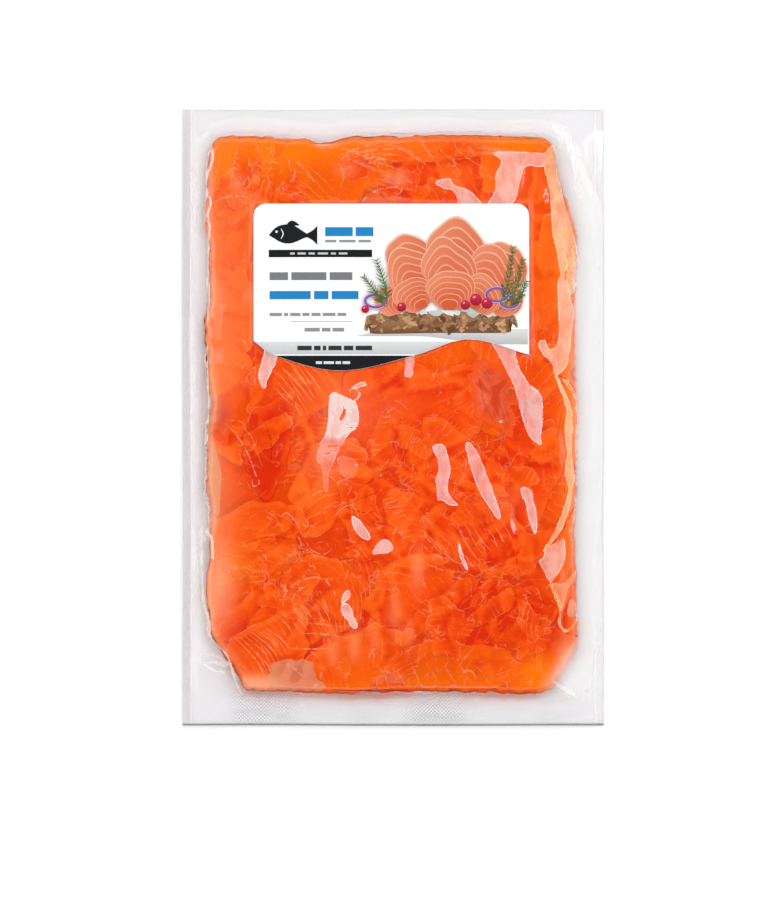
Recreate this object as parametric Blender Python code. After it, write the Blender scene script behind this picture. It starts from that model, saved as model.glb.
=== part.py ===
"""Pack of smoked salmon: a clear vacuum bag drawn tight over a slab of slices, with a die-cut label on top.

Metres, +Z up. The pack lies flat with its label up and its length along Y. The origin is under the
middle of the bag, on the surface that the pack lies on.
"""

import math

import bmesh
import bpy
import numpy as np

# The bag: two sheets of film, sealed all round
BAG_WIDTH = 0.205
BAG_LENGTH = 0.300
FLANGE_THICK = 0.0008
FLANGE_AT_SLAB = 0.0026
FLANGE_AT_RIM = 0.0011
RIM_SHARE = 0.12
RIM_WAVE = 0.0004
RIM_WAVE_ACROSS = 0.0130
RIM_WAVE_ALONG = 0.0170
RIM_SWAY = 0.0005
RIM_SWAY_ACROSS = 0.0310
RIM_SWAY_ALONG = 0.0450

# The slab of slices inside it, out to its uneven edge
SLAB_LEFT = -0.0905
SLAB_RIGHT = 0.0900
SLAB_TOP = 0.1375
SLAB_BOTTOM = -0.1340
SLAB_CROWN = 0.0118
SLAB_SHOULDER_HEIGHT = 0.0092
SHOULDER_RUN = 0.0085
CROWN_RUN = 0.0600
UNDER_RUN = 0.0060
CORNER_SOFTNESS = 0.0050
EDGE_WAVE = 0.0012

# Waves in each of its edges: share of EDGE_WAVE, length of one radian, and phase
LEFT_WAVES = ((1.0, 0.0098, 0.7), (0.6, 0.0041, 0.0))
RIGHT_WAVES = ((0.5, 0.0165, 2.1), (0.25, 0.0063, 1.0))
TOP_WAVES = ((0.6, 0.0190, 0.4),)
BOTTOM_WAVES = ((0.5, 0.0140, 0.0),)

# Lumps of the slices under the film: their height, their lengths of one radian, and the calm
# stretch round the label
LUMP = 0.00055
WIDE_LUMP_ACROSS = 0.0170
WIDE_LUMP_ALONG = 0.0230
FIRST_RIDGE = (0.0105, -0.0140)
SECOND_RIDGE = (0.0210, 0.0092)
CALM_RUN = 0.0120
CALM_SHARE = 0.3

# The lower left corner is missing, both right ones are drawn in, and the top edge has a notch
CUT_CORNER_DEPTH = 0.0160
CUT_CORNER_START = -0.1010
CUT_CORNER_RUN = 0.0300
DRAWN_CORNER_DEPTH = 0.0110
DRAWN_CORNER_START = 0.0810
DRAWN_CORNER_RUN = 0.0450
LOW_CORNER_DEPTH = 0.0120
LOW_CORNER_START = -0.1060
LOW_CORNER_RUN = 0.0300
NOTCH_CENTRE = -0.0330
NOTCH_HALF_WIDTH = 0.0090
NOTCH_DEPTH = 0.0042

# The label, stuck on the film
LABEL_LEFT = -0.0678
LABEL_RIGHT = 0.0661
LABEL_TOP = 0.1039
LABEL_CORNER = 0.0060
LABEL_THICK = 0.0003
LABEL_GAP = 0.00035
LABEL_HEM = (
    (-0.0678, 0.0372),
    (-0.0585, 0.0304),
    (-0.0254, 0.0226),
    (0.0116, 0.0304),
    (0.0364, 0.0380),
    (0.0661, 0.0304),
)

# Cells of the two grids
FLANGE_CELLS = 3
SHOULDER_CELLS = 4
MIDDLE_COLUMNS = 23
MIDDLE_ROWS = 34
LABEL_COLUMNS = 24
LABEL_ROWS = 12
LABEL_SIDE_CROWDING = 0.6
SHARP_EDGE = math.radians(50)

SALMON_ORANGE = (1.0, 0.14, 0.01)
PAPER_WHITE = (0.92, 0.92, 0.92)


def ease(value):
    """Smooth step from 0 to 1, flat at both ends."""
    share = min(max(value, 0.0), 1.0)
    return share * share * (3 - 2 * share)


def soft_least(values, softness):
    """The least of the values, rounded off where two of them meet."""
    return -softness * math.log(sum(math.exp(-value / softness) for value in values))


def waving(place, waves):
    """How far an edge of the slab sways out at a place along it."""
    return EDGE_WAVE * sum(share * math.sin(place / length + phase) for share, length, phase in waves)


def left_edge(y):
    cut = ease((CUT_CORNER_START - y) / CUT_CORNER_RUN)
    return SLAB_LEFT + waving(y, LEFT_WAVES) + CUT_CORNER_DEPTH * cut


def right_edge(y):
    drawn = ease((y - DRAWN_CORNER_START) / DRAWN_CORNER_RUN)
    low_drawn = ease((LOW_CORNER_START - y) / LOW_CORNER_RUN)
    drawn_in = DRAWN_CORNER_DEPTH * drawn + LOW_CORNER_DEPTH * low_drawn
    return SLAB_RIGHT + waving(y, RIGHT_WAVES) - drawn_in


def top_edge(x):
    notch = ease(1 - abs(x - NOTCH_CENTRE) / NOTCH_HALF_WIDTH)
    return SLAB_TOP + waving(x, TOP_WAVES) - NOTCH_DEPTH * notch


def bottom_edge(x):
    return SLAB_BOTTOM + waving(x, BOTTOM_WAVES)


def inside(x, y):
    """How far a point lies inside the slab's edge; negative on the flange."""
    ways = (x - left_edge(y), right_edge(y) - x, top_edge(x) - y, y - bottom_edge(x))
    return soft_least(ways, CORNER_SOFTNESS / 2)


def flange_height(x, y):
    """Underside of the flange: it droops from the slab to the rim, which is slightly wavy."""
    away = max(abs(x) / (BAG_WIDTH / 2), abs(y) / (BAG_LENGTH / 2))
    rim = ease((away - 1 + RIM_SHARE) / RIM_SHARE)
    wave = RIM_WAVE * math.sin(x / RIM_WAVE_ACROSS + 0.5) * math.cos(y / RIM_WAVE_ALONG)
    return FLANGE_AT_SLAB + rim * (FLANGE_AT_RIM - FLANGE_AT_SLAB + wave)


def lumps(x, y):
    """Unevenness of the slices under the film, calmer beneath the label."""
    wide = math.sin(x / WIDE_LUMP_ACROSS + 1.1) * math.sin(y / WIDE_LUMP_ALONG + 0.4)
    fine = 0.6 * math.sin(x / FIRST_RIDGE[0] + y / FIRST_RIDGE[1])
    fine += 0.4 * math.sin(x / SECOND_RIDGE[0] + y / SECOND_RIDGE[1])
    beyond = max(
        LABEL_LEFT - x,
        x - LABEL_RIGHT,
        y - LABEL_TOP,
        min(height for _, height in LABEL_HEM) - y,
    )
    return LUMP * (wide + fine) * (CALM_SHARE + (1 - CALM_SHARE) * ease(beyond / CALM_RUN))


def top_height(x, y):
    """Upper surface of the pack."""
    depth = inside(x, y)
    flange = flange_height(x, y) + FLANGE_THICK
    shoulder = math.sqrt(ease(depth / SHOULDER_RUN))
    crown = ease(depth / CROWN_RUN) * (SLAB_CROWN - SLAB_SHOULDER_HEIGHT)
    return flange + shoulder * (SLAB_SHOULDER_HEIGHT - flange + crown + lumps(x, y))


def under_height(x, y):
    """Lower surface of the pack: flat where it rests, rounded up to the flange at the slab's edge."""
    return flange_height(x, y) * (1 - ease(inside(x, y) / UNDER_RUN))


def spread(share, rim, low_edge, high_edge, middle_cells):
    """Place of a grid line: few cells on the flange, close ones on the shoulder, even ones between."""
    counts = (FLANGE_CELLS, SHOULDER_CELLS, middle_cells, SHOULDER_CELLS, FLANGE_CELLS)
    stops = np.cumsum((0, *counts))
    places = (
        -rim,
        low_edge,
        low_edge + SHOULDER_RUN,
        high_edge - SHOULDER_RUN,
        high_edge,
        rim,
    )
    return float(np.interp(share * stops[-1], stops, places))


def bag_place(across, along):
    """Where a point of the bag's grid lies, its lines following the slab's uneven edge."""
    y = spread(along, BAG_LENGTH / 2, SLAB_BOTTOM, SLAB_TOP, MIDDLE_ROWS)
    x = spread(across, BAG_WIDTH / 2, left_edge(y), right_edge(y), MIDDLE_COLUMNS)
    y = spread(along, BAG_LENGTH / 2, bottom_edge(x), top_edge(x), MIDDLE_ROWS)
    middle = math.sin(math.pi * across) * math.sin(math.pi * along)
    sway = RIM_SWAY * (1 - ease(4 * middle))
    return x - sway * math.sin(y / RIM_SWAY_ALONG + 1), y + sway * math.sin(x / RIM_SWAY_ACROSS)


def hem_height(x):
    """Lower edge of the label: a Catmull-Rom curve through LABEL_HEM."""
    last = len(LABEL_HEM) - 1
    i = next(i for i in range(last) if x <= LABEL_HEM[i + 1][0] or i == last - 1)
    (x1, y1), (x2, y2) = LABEL_HEM[i], LABEL_HEM[i + 1]
    x0, y0 = LABEL_HEM[max(i - 1, 0)]
    x3, y3 = LABEL_HEM[min(i + 2, last)]
    span = x2 - x1
    start_slope = (y2 - y0) / (x2 - x0) * span
    end_slope = (y3 - y1) / (x3 - x1) * span
    t = (x - x1) / span
    start, end = 2 * t**3 - 3 * t**2 + 1, 3 * t**2 - 2 * t**3
    return start * y1 + end * y2 + (t**3 - 2 * t**2 + t) * start_slope + (t**3 - t**2) * end_slope


def label_place(across, along):
    """Where a point of the label's grid lies: close columns at the sides, round upper corners."""
    turn = 2 * across - 1
    half_width = (LABEL_RIGHT - LABEL_LEFT) / 2
    crowded = turn + LABEL_SIDE_CROWDING * (math.sin(math.pi / 2 * turn) - turn)
    x = (LABEL_LEFT + LABEL_RIGHT) / 2 + half_width * crowded
    in_corner = max(LABEL_CORNER - (x - LABEL_LEFT), LABEL_CORNER - (LABEL_RIGHT - x), 0.0)
    top = LABEL_TOP - LABEL_CORNER + math.sqrt(max(LABEL_CORNER**2 - in_corner**2, 0.0))
    return x, hem_height(x) + along * (top - hem_height(x))


def layer(name, columns, rows, place, low, high):
    """A closed solid from one grid: the grid is its lower face, and its extrusion is the upper one."""
    bm = bmesh.new()
    bmesh.ops.create_grid(bm, x_segments=columns, y_segments=rows, size=0.5)
    lower = bm.verts[:]
    extruded = bmesh.ops.extrude_face_region(bm, geom=bm.faces[:])["geom"]
    upper = [item for item in extruded if isinstance(item, bmesh.types.BMVert)]
    for points, height in ((lower, low), (upper, high)):
        for point in points:
            x, y = place(point.co.x + 0.5, point.co.y + 0.5)
            point.co = (x, y, height(x, y))
    bmesh.ops.recalc_face_normals(bm, faces=bm.faces[:])
    mesh = bpy.data.meshes.new(name)
    bm.to_mesh(mesh)
    bm.free()
    mesh.shade_smooth()
    mesh.set_sharp_from_angle(angle=SHARP_EDGE)
    return bpy.data.objects.new(name, mesh)


def finish(name, colour, roughness, coat):
    material = bpy.data.materials.new(name)
    material.use_nodes = True
    shader = material.node_tree.nodes["Principled BSDF"]
    shader.inputs["Base Color"].default_value = (*colour, 1.0)
    shader.inputs["Metallic"].default_value = 0.0
    shader.inputs["Roughness"].default_value = roughness
    shader.inputs["Coat Weight"].default_value = coat
    return material


for old in list(bpy.data.objects):
    bpy.data.objects.remove(old)

pack = bpy.data.collections.new("smoked_salmon_pack")
bpy.context.scene.collection.children.link(pack)

pouch = layer(
    "pouch",
    2 * (FLANGE_CELLS + SHOULDER_CELLS) + MIDDLE_COLUMNS,
    2 * (FLANGE_CELLS + SHOULDER_CELLS) + MIDDLE_ROWS,
    bag_place,
    under_height,
    top_height,
)
pouch.data.materials.append(finish("salmon_under_film", SALMON_ORANGE, 0.35, 0.8))
pack.objects.link(pouch)

label = layer(
    "label",
    LABEL_COLUMNS,
    LABEL_ROWS,
    label_place,
    lambda x, y: top_height(x, y) + LABEL_GAP,
    lambda x, y: top_height(x, y) + LABEL_GAP + LABEL_THICK,
)
label.data.materials.append(finish("label_paper", PAPER_WHITE, 0.4, 0.0))
label.parent = pouch
pack.objects.link(label)
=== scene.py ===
import math

import bpy
import numpy as np
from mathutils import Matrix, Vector


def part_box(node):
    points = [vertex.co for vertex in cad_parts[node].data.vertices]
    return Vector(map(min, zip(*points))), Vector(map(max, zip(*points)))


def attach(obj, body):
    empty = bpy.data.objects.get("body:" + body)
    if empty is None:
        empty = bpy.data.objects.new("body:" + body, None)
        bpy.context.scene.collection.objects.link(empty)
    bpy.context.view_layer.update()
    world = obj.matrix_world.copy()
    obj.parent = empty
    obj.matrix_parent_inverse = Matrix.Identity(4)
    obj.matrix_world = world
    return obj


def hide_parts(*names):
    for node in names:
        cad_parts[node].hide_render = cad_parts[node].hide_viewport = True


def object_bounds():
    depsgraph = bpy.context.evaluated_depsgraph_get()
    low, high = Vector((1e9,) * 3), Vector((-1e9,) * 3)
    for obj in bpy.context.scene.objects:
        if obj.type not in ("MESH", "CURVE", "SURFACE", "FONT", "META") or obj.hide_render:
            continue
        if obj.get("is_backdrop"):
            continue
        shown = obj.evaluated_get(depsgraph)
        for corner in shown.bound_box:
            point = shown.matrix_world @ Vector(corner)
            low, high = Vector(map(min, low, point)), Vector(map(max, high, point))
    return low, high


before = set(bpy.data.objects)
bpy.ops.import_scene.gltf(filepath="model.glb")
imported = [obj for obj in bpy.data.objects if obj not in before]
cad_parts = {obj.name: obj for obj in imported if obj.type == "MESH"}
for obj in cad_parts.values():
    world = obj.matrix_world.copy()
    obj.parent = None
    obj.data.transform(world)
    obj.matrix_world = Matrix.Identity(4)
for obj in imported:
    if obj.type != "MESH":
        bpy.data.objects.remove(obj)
cad_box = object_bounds()


# ---- The slab's core --------------------------------------------------------------------------
# Under the slices that show lie older ones, pressed into one slab by the vacuum. The core stands
# for the middle of it, a little inside the slab's uneven edge, with a wall of pressed layers.

MM = 0.001
TURN = 2 * math.pi
# The step of the height fields, and how far inside the bag's rim its sides are still measured
STEP = 0.8 * MM
SKIN_INSET = 1.2 * MM
TOP_BLUR = 1.6 * MM
UNDER_BLUR = 1.2 * MM
SLAB_EDGE_HEIGHT = 4.0 * MM
# The slab's edge is found at so many turns, at distances from the first to the last by this step.
# It isn't straight: waves round it, and the size of each in mm
EDGE_POINTS = 1441
EDGE_REACHES = (20 * MM, 200 * MM, 0.25 * MM)
EDGE_WAVES = ((61, 0.30), (97, 0.26), (151, 0.22), (229, 0.16))
# The slices fill the bag's shoulder more squarely than the plain solid does
SHOULDER = 3.0 * MM
EDGE_HEIGHT = 3.4 * MM
SHOULDER_HEIGHT = 8.8 * MM
# How far the core lies inside the edge, under the top and over the underside, the rings and
# spokes it is made of, and the waves of the layers in its wall
CORE_INSET = 1.0 * MM
CORE_DEPTH = 1.5 * MM
UNDER_SLICES_THICK = 1.4 * MM
SPOKES = 360
CAP_RINGS = 26
WALL_RINGS = 14
WALL_LAYERS = 3.0
WALL_WAVE = 0.35 * MM
LAYER_THICK = 1.2 * MM
# The flesh: lumps a metre of what its flakes wander by, its mottling, its grain, its fat and the
# painted highlights on its slices' rims, the size of the older slices that show through and how
# much, and how matt and bumpy it is
FLAKE_WANDER = 130.0
FLAKE_PATCHES = 85.0
MOTTLING = 42.0
GRAIN = 480.0
SHOWN_THROUGH = ((70.0, 0.16), (130.0, 0.08))
CURL_WANDER = 95.0
CURL_PATCHES = 160.0
RIM_HIGHLIGHT_PATCHES = 110.0
STRIP_EDGE = 240.0
THIN_PATCHES = 190.0
FLESH_ROUGHNESS = 0.45
FLESH_SHINE = 0.05
FLESH_BUMP = {"Strength": 0.18, "Distance": 0.30 * MM}
# Light scatters inside the flesh, so only this much of the slope of its small steps shows
SLOPE_SHOWN = 0.45

low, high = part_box("pouch")
across = np.arange(low[0], high[0] + STEP, STEP)
along = np.arange(low[1], high[1] + STEP, STEP)
GX, GY = np.meshgrid(across, along)
X_MM, Y_MM = GX / MM, GY / MM
rng = np.random.default_rng(21)


def skin(node, from_above):
    """Height field of a solid's upper or lower side."""
    start, way = (1.0, -1.0) if from_above else (-1.0, 1.0)
    xs = np.clip(across, low[0] + SKIN_INSET, high[0] - SKIN_INSET)
    ys = np.clip(along, low[1] + SKIN_INSET, high[1] - SKIN_INSET)
    hits = (node.ray_cast(Vector((x, y, start)), Vector((0, 0, way)))[1].z for y in ys for x in xs)
    return np.fromiter(hits, float).reshape(GX.shape)


def blur(field, reach):
    """Gaussian blur of a height field, along one side and then the other."""
    sigma = reach / STEP
    half = max(1, int(3 * sigma))
    weights = np.exp(-0.5 * (np.arange(-half, half + 1) / sigma) ** 2)
    weights /= weights.sum()
    for _ in range(2):
        padded = np.pad(field, ((half, half), (0, 0)), mode="edge")
        field = sum(weight * padded[i : i + len(field)] for i, weight in enumerate(weights)).T
    return field


def read(field, x, y):
    """A height field's value between its points."""
    fx = np.clip((x - across[0]) / STEP, 0, len(across) - 1.001)
    fy = np.clip((y - along[0]) / STEP, 0, len(along) - 1.001)
    ix, iy = fx.astype(int), fy.astype(int)
    tx, ty = fx - ix, fy - iy
    upper = field[iy + 1, ix] * (1 - tx) + field[iy + 1, ix + 1] * tx
    lower = field[iy, ix] * (1 - tx) + field[iy, ix + 1] * tx
    return lower * (1 - ty) + upper * ty


def uneven(reach):
    """A random field with lumps of this size in mm, mostly between -1 and 1."""
    field = blur(rng.standard_normal(GX.shape), reach * MM)
    return field / (2.2 * field.std())


def ease(value):
    """Smooth step from 0 to 1, flat at both ends."""
    share = np.clip(value, 0, 1)
    return share * share * (3 - 2 * share)


def spots(rows, which=0):
    """A field of soft spots, each x, y and its reach each way in mm, then its amounts: one counts."""
    total = np.zeros(GX.shape)
    for x, y, reach_x, reach_y, *amounts in rows:
        near = np.exp(-(((X_MM - x) / reach_x) ** 2) - ((Y_MM - y) / reach_y) ** 2)
        total = total + amounts[which] * near
    return total


bpy.context.view_layer.update()
pouch_top = blur(skin(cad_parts["pouch"], True), TOP_BLUR)
pouch_under = blur(skin(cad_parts["pouch"], False), UNDER_BLUR)

turns = np.linspace(-math.pi, math.pi, EDGE_POINTS)
reaches = np.arange(*EDGE_REACHES)
ray_x = np.cos(turns)[:, None] * reaches
ray_y = np.sin(turns)[:, None] * reaches
in_bag = (abs(ray_x) < high[0]) & (abs(ray_y) < high[1])
on_slab = (read(pouch_top, ray_x, ray_y) > SLAB_EDGE_HEIGHT) & in_bag
slab_reach = reaches[on_slab.shape[1] - 1 - np.argmax(on_slab[:, ::-1], axis=1)]
steps_round = np.hypot(np.diff(np.cos(turns) * slab_reach), np.diff(np.sin(turns) * slab_reach))
round_slab = np.cumsum(np.r_[0, steps_round])
for waves, size in EDGE_WAVES:
    wobble = np.sin(TURN * waves * round_slab / round_slab[-1] + rng.uniform(0, TURN))
    here = ease(0.5 + 0.9 * np.sin(round_slab / (23 * MM) + waves))
    slab_reach = slab_reach + size * MM * wobble * here


def edge_in(x, y):
    """How far a point lies inside the slab's edge."""
    return np.interp(np.arctan2(y, x), turns, slab_reach) - np.hypot(x, y)


down_share = 1 - np.clip(edge_in(GX, GY) / SHOULDER, 0, 1)
square_top = EDGE_HEIGHT + (SHOULDER_HEIGHT - EDGE_HEIGHT) * np.sqrt(1 - down_share**2)
full_top = blur(np.where(down_share < 1, np.maximum(pouch_top, square_top), pouch_top), 0.8 * MM)


def kept_in(x, y, beyond):
    """Draws a point that lies past the slab's edge back to it."""
    reach = np.maximum(np.hypot(x, y), 1e-9)
    pull = np.minimum(1, (reach + edge_in(x, y) + beyond) / reach)
    return x * pull, y * pull


def store(mesh, **fields):
    """Stores numbers on a mesh's points, for its material to read."""
    count = len(mesh.vertices)
    for name, values in fields.items():
        layer = mesh.attributes.new(name, "FLOAT", "POINT")
        values = np.broadcast_to(np.ravel(values), count)
        layer.data.foreach_set("value", values.astype(np.float32))


def points_of(mesh):
    points = np.empty(len(mesh.vertices) * 3)
    mesh.vertices.foreach_get("co", points)
    return points.reshape(-1, 3)


def set_points(mesh, x, y, z):
    mesh.vertices.foreach_set("co", np.column_stack((x, y, z)).ravel())
    mesh.update()


def edit(*steps):
    """Runs mesh operators on all of the active piece."""
    bpy.ops.object.mode_set(mode="EDIT")
    for step, settings in steps:
        bpy.ops.mesh.select_all(action="SELECT")
        step(**settings)
    bpy.ops.object.mode_set(mode="OBJECT")


def grid(name, columns, rows, thick=False):
    """A square grid from -1 to 1; a thick one has a second layer at height 1, joined at its edge."""
    bpy.ops.object.select_all(action="DESELECT")
    bpy.ops.mesh.primitive_grid_add(x_subdivisions=columns, y_subdivisions=rows, size=2)
    if thick:
        edit(
            (bpy.ops.mesh.extrude_region_move, {"TRANSFORM_OT_translate": {"value": (0, 0, 1)}}),
            (bpy.ops.mesh.normals_make_consistent, {"inside": False}),
        )
    piece = bpy.context.object
    piece.name = name
    return piece


class Look:
    """A material, or the world, and short ways to add nodes that take numbers, colours and sockets."""

    def __init__(self, name, kind="materials"):
        self.owner = getattr(bpy.data, kind).new(name)
        self.owner.use_nodes = True
        self.tree = self.owner.node_tree
        self.tree.nodes.clear()

    def add(self, kind, inputs, out=0, **settings):
        """A node with its settings and inputs; gives its output, if it has one."""
        node = self.tree.nodes.new("ShaderNode" + kind)
        for name, value in settings.items():
            setattr(node, name, value)
        for key, value in inputs.items():
            socket = node.inputs[key]
            if isinstance(value, bpy.types.NodeSocket):
                self.tree.links.new(value, socket)
            else:
                socket.default_value = (*value, 1.0) if socket.type == "RGBA" else value
        return node.outputs[out] if node.outputs else None

    def shown(self, shader, kind="Material"):
        self.add("Output" + kind, {0: shader})
        return self.owner

    def plain(self, colour, roughness, shine=0.5, **inputs):
        """Ends the material as one plain surface."""
        inputs = {"Base Color": colour, "Roughness": roughness, "Specular IOR Level": shine, **inputs}
        return self.shown(self.add("BsdfPrincipled", inputs))

    def maths(self, kind, first, second=0.0, third=0.0):
        return self.add("Math", {0: first, 1: second, 2: third}, operation=kind)

    def times(self, first, second):
        return self.maths("MULTIPLY", first, second)

    def plus(self, first, second):
        return self.maths("ADD", first, second)

    def scaled(self, value, factor, offset):
        return self.maths("MULTIPLY_ADD", value, factor, offset)

    def most(self, first, *others):
        for value in others:
            first = self.maths("MAXIMUM", first, value)
        return first

    def least(self, first, second):
        return self.maths("MINIMUM", first, second)

    def off(self, value, middle):
        """How far a value is from the middle one, either way."""
        return self.maths("ABSOLUTE", self.maths("SUBTRACT", value, middle))

    def stored(self, name, out="Fac"):
        return self.add("Attribute", {}, out, attribute_name=name)

    def between(self, value, start, end, most=1.0):
        """0 at start, most at end, smooth between."""
        first, last = (0.0, most) if start <= end else (most, 0.0)
        limits = {"From Min": min(start, end), "From Max": max(start, end), "To Min": first, "To Max": last}
        return self.add("MapRange", {"Value": value, **limits}, interpolation_type="SMOOTHSTEP")

    def place(self):
        return self.add("TexCoord", {}, "Object")

    def speckle(self, scale, detail=3.0, roughness=0.55, stretch=None, turn=0.0, warp=0.0):
        """Noise in the pack's own coordinates, with so many lumps a metre."""
        where = self.place()
        if stretch is not None:
            where = self.add("Mapping", {"Vector": where, "Scale": stretch, "Rotation": (0, 0, turn)})
        inputs = {"Vector": where, "Scale": scale, "Detail": detail, "Roughness": roughness}
        return self.add("TexNoise", {**inputs, "Distortion": warp}, "Fac")

    def patches(self, scale):
        """Patches with crisp, wandering edges, each of one random value: what lies just beneath."""
        where = self.place()
        drift = self.add("TexNoise", {"Vector": where, "Scale": scale * 1.3, "Detail": 3.0}, "Color")
        reach = (1.6 / scale,) * 3
        where = self.add("VectorMath", {0: drift, 1: reach, 2: where}, operation="MULTIPLY_ADD")
        cells = self.add("TexVoronoi", {"Vector": where, "Scale": scale}, "Color")
        return self.add("SeparateColor", {0: cells})

    def tinted(self, share, first, second):
        """Mixes two colours by a share."""
        return self.add("Mix", {"Factor": share, "A": first, "B": second}, "Result", data_type="RGBA")


def flesh_material(name, deep, middle, light, gold, line, peach, edge_colour=None, fade=(1.6, 5.5)):
    """Smoked fish: deep to light by tone, golden where dry, pale where thin, with lines of fat.

    It also carries painted shade in the hollows and painted highlights on the slices' rims.
    """
    look = Look(name)
    # Flakes: a saw across them, and thin pale lines between them in some places
    lines = look.stored("lines")
    phase = look.scaled(look.speckle(FLAKE_WANDER), 1.3, look.stored("grain"))
    saw = look.maths("FRACT", phase)
    to_line = look.maths("PINGPONG", phase, 0.5)
    patchy = look.between(look.speckle(FLAKE_PATCHES, 2.0), 0.40, 0.62)
    streak = look.times(look.between(to_line, 0.12, 0.03), look.times(patchy, lines))
    # Tone: the slice's own, mottled, grained, with painted shade darkening the hollows between slices, and
    # older slices beneath
    mottle = look.speckle(MOTTLING, 4.0, 0.58, warp=0.6)
    fine = look.speckle(GRAIN, 4.0, 0.7)
    tone = look.plus(look.stored("tone"), look.scaled(mottle, 0.9, -0.40))
    tone = look.plus(tone, look.scaled(fine, 0.20, -0.10))
    tone = look.plus(tone, look.times(look.scaled(saw, -0.30, 0.15), lines))
    tone = look.maths("SUBTRACT", tone, look.times(0.45, look.stored("hollow")))
    for scale, size in SHOWN_THROUGH:
        tone = look.plus(tone, look.scaled(look.patches(scale), size, -size / 2))
    shades = look.add("ValToRGB", {0: tone})
    stops = shades.node.color_ramp.elements
    stops[0].position, stops[0].color = 0.0, (*deep, 1)
    stops[1].position, stops[1].color = 1.0, (*light, 1)
    stops.new(0.45).color = (*middle, 1)
    colour = look.tinted(look.stored("gold"), shades, gold)
    colour = look.tinted(look.times(streak, 0.8), colour, line)

    # Short curls of fat, and broken pale rims along the slices' edges, which are painted highlights where
    # the edges catch the light
    curl = look.off(look.speckle(CURL_WANDER, 2.5, 0.5, warp=0.5), 0.5)
    some = look.between(look.speckle(CURL_PATCHES, 2.0), 0.50, 0.62)
    curl = look.times(look.between(curl, 0.018, 0.004), some)
    curl = look.times(curl, look.stored("curls"))
    colour = look.tinted(look.times(curl, 0.75), colour, line)
    # Painted highlight: a broken pale line just inside each slice's edge
    rim = look.between(look.stored("edge"), 0.9, 0.1)
    rim = look.times(rim, look.between(look.speckle(RIM_HIGHLIGHT_PATCHES), 0.46, 0.62))
    colour = look.tinted(look.times(rim, 0.45), colour, line)

    # A strip melts into the flesh round it, and thin places are pale; some of this paleness is painted
    # light, on the core's wall and the slab's shoulder
    if edge_colour is not None:
        soft_edge = look.scaled(look.speckle(STRIP_EDGE), 3.0, look.stored("edge"))
        colour = look.tinted(look.between(soft_edge, *fade), edge_colour, colour)
    blotchy = look.scaled(look.speckle(THIN_PATCHES, 3.0, 0.6), 0.9, 0.55)
    thin = look.times(look.stored("thin"), blotchy)
    colour = look.tinted(look.least(thin, 1.0), colour, peach)

    normal = look.add("NewGeometry", {}, "Normal")
    flatter = (SLOPE_SHOWN, SLOPE_SHOWN, 1.0)
    normal = look.add("VectorMath", {0: normal, 1: flatter}, operation="MULTIPLY")
    normal = look.add("VectorMath", {0: normal}, operation="NORMALIZE")
    bump = look.add("Bump", {**FLESH_BUMP, "Height": fine, "Normal": normal})
    return look.plain(colour, FLESH_ROUGHNESS, FLESH_SHINE, Normal=bump)


salmon = flesh_material(
    "smoked salmon",
    deep=(0.73, 0.026, 0.001),
    middle=(0.90, 0.067, 0.002),
    light=(0.97, 0.14, 0.012),
    gold=(0.98, 0.19, 0.001),
    line=(1.0, 0.34, 0.16),
    peach=(1.0, 0.36, 0.18),
)


def add_core():
    """A disc of rings and spokes: the upper cap, the layered wall and the lower cap."""
    rings = 2 * CAP_RINGS + WALL_RINGS
    core = grid("core", SPOKES, rings)
    mesh = core.data
    turn, level, _ = points_of(mesh).T
    turn = turn * math.pi
    level = (level + 1) / 2 * rings
    out = np.clip(np.minimum(level, rings - level) / CAP_RINGS, 0, 1)
    down = np.clip((level - CAP_RINGS) / WALL_RINGS, 0, 1)
    layered = WALL_WAVE * np.sin(TURN * WALL_LAYERS * down + 3 * np.sin(3 * turn))
    radius = np.interp(turn, turns, slab_reach) - CORE_INSET
    radius = radius + layered * np.sin(math.pi * down)
    x, y = np.cos(turn) * radius * out, np.sin(turn) * radius * out
    upper = read(full_top, x, y) - CORE_DEPTH
    under = np.minimum(read(pouch_under, x, y) + UNDER_SLICES_THICK, upper)
    set_points(mesh, x, y, upper + (under - upper) * down)
    edit(
        (bpy.ops.mesh.remove_doubles, {"threshold": 0.01 * MM}),
        (bpy.ops.mesh.normals_make_consistent, {"inside": False}),
    )
    x, y, z = points_of(mesh).T
    layers = z / LAYER_THICK + 0.4 * np.sin(x / (9 * MM)) + 0.4 * np.sin(y / (11 * MM))
    on_wall = edge_in(x, y) < CORE_INSET + 0.6 * MM
    tone = 0.35 + 0.15 * np.sin(layers * TURN)
    # Painted light: the wall is made pale to lift the shade in the gap under the slab's edge
    thin = np.where(on_wall, 0.7, 0.1)
    store(mesh, tone=tone, gold=0.2, grain=layers, lines=0.6, edge=5, thin=thin, hollow=0, curls=0)
    mesh.materials.append(salmon)
    mesh.shade_smooth()
    return core


core = add_core()
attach(core, "root")
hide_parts("pouch")


# ---- The slices, the belly strips and the scraps ----------------------------------------------
# Thin slices of smoked salmon, cut by hand, so each has its own outline. They lie over each other,
# drape on what is under them and are pressed nearly flat. Between them lie pale strips of belly fat,
# a brown band of the side muscle, and torn scraps.

SLICE_GRID = (44, 28)
SCRAP_GRID = (18, 12)
UNDER_GRID = (30, 20)
LOOSE_SLICES_THICK = 2.6 * MM
# Thickness, how torn the outline is, and the width of the hollows that a slice spans
LOWER_CUT = (1.5 * MM, 0.30, 1.2 * MM)
UPPER_CUT = (1.4 * MM, 0.32, 1.0 * MM)
BELLY_CUT = (0.8 * MM, 0.30, 0.8 * MM)
SCRAP_CUT = (0.42 * MM, 0.50, 0.9 * MM)
BROWN_CUT = (0.5 * MM, 0.50, 0.6 * MM)
UNDER_CUT = (1.0 * MM, 0.30, 1.2 * MM)
# A slice's edge lies up to this far past the slab's edge, in mm, and its outline has so many waves
PAST_EDGE = (-1.5, 0.4)
OUTLINE_WAVES = 12
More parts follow.
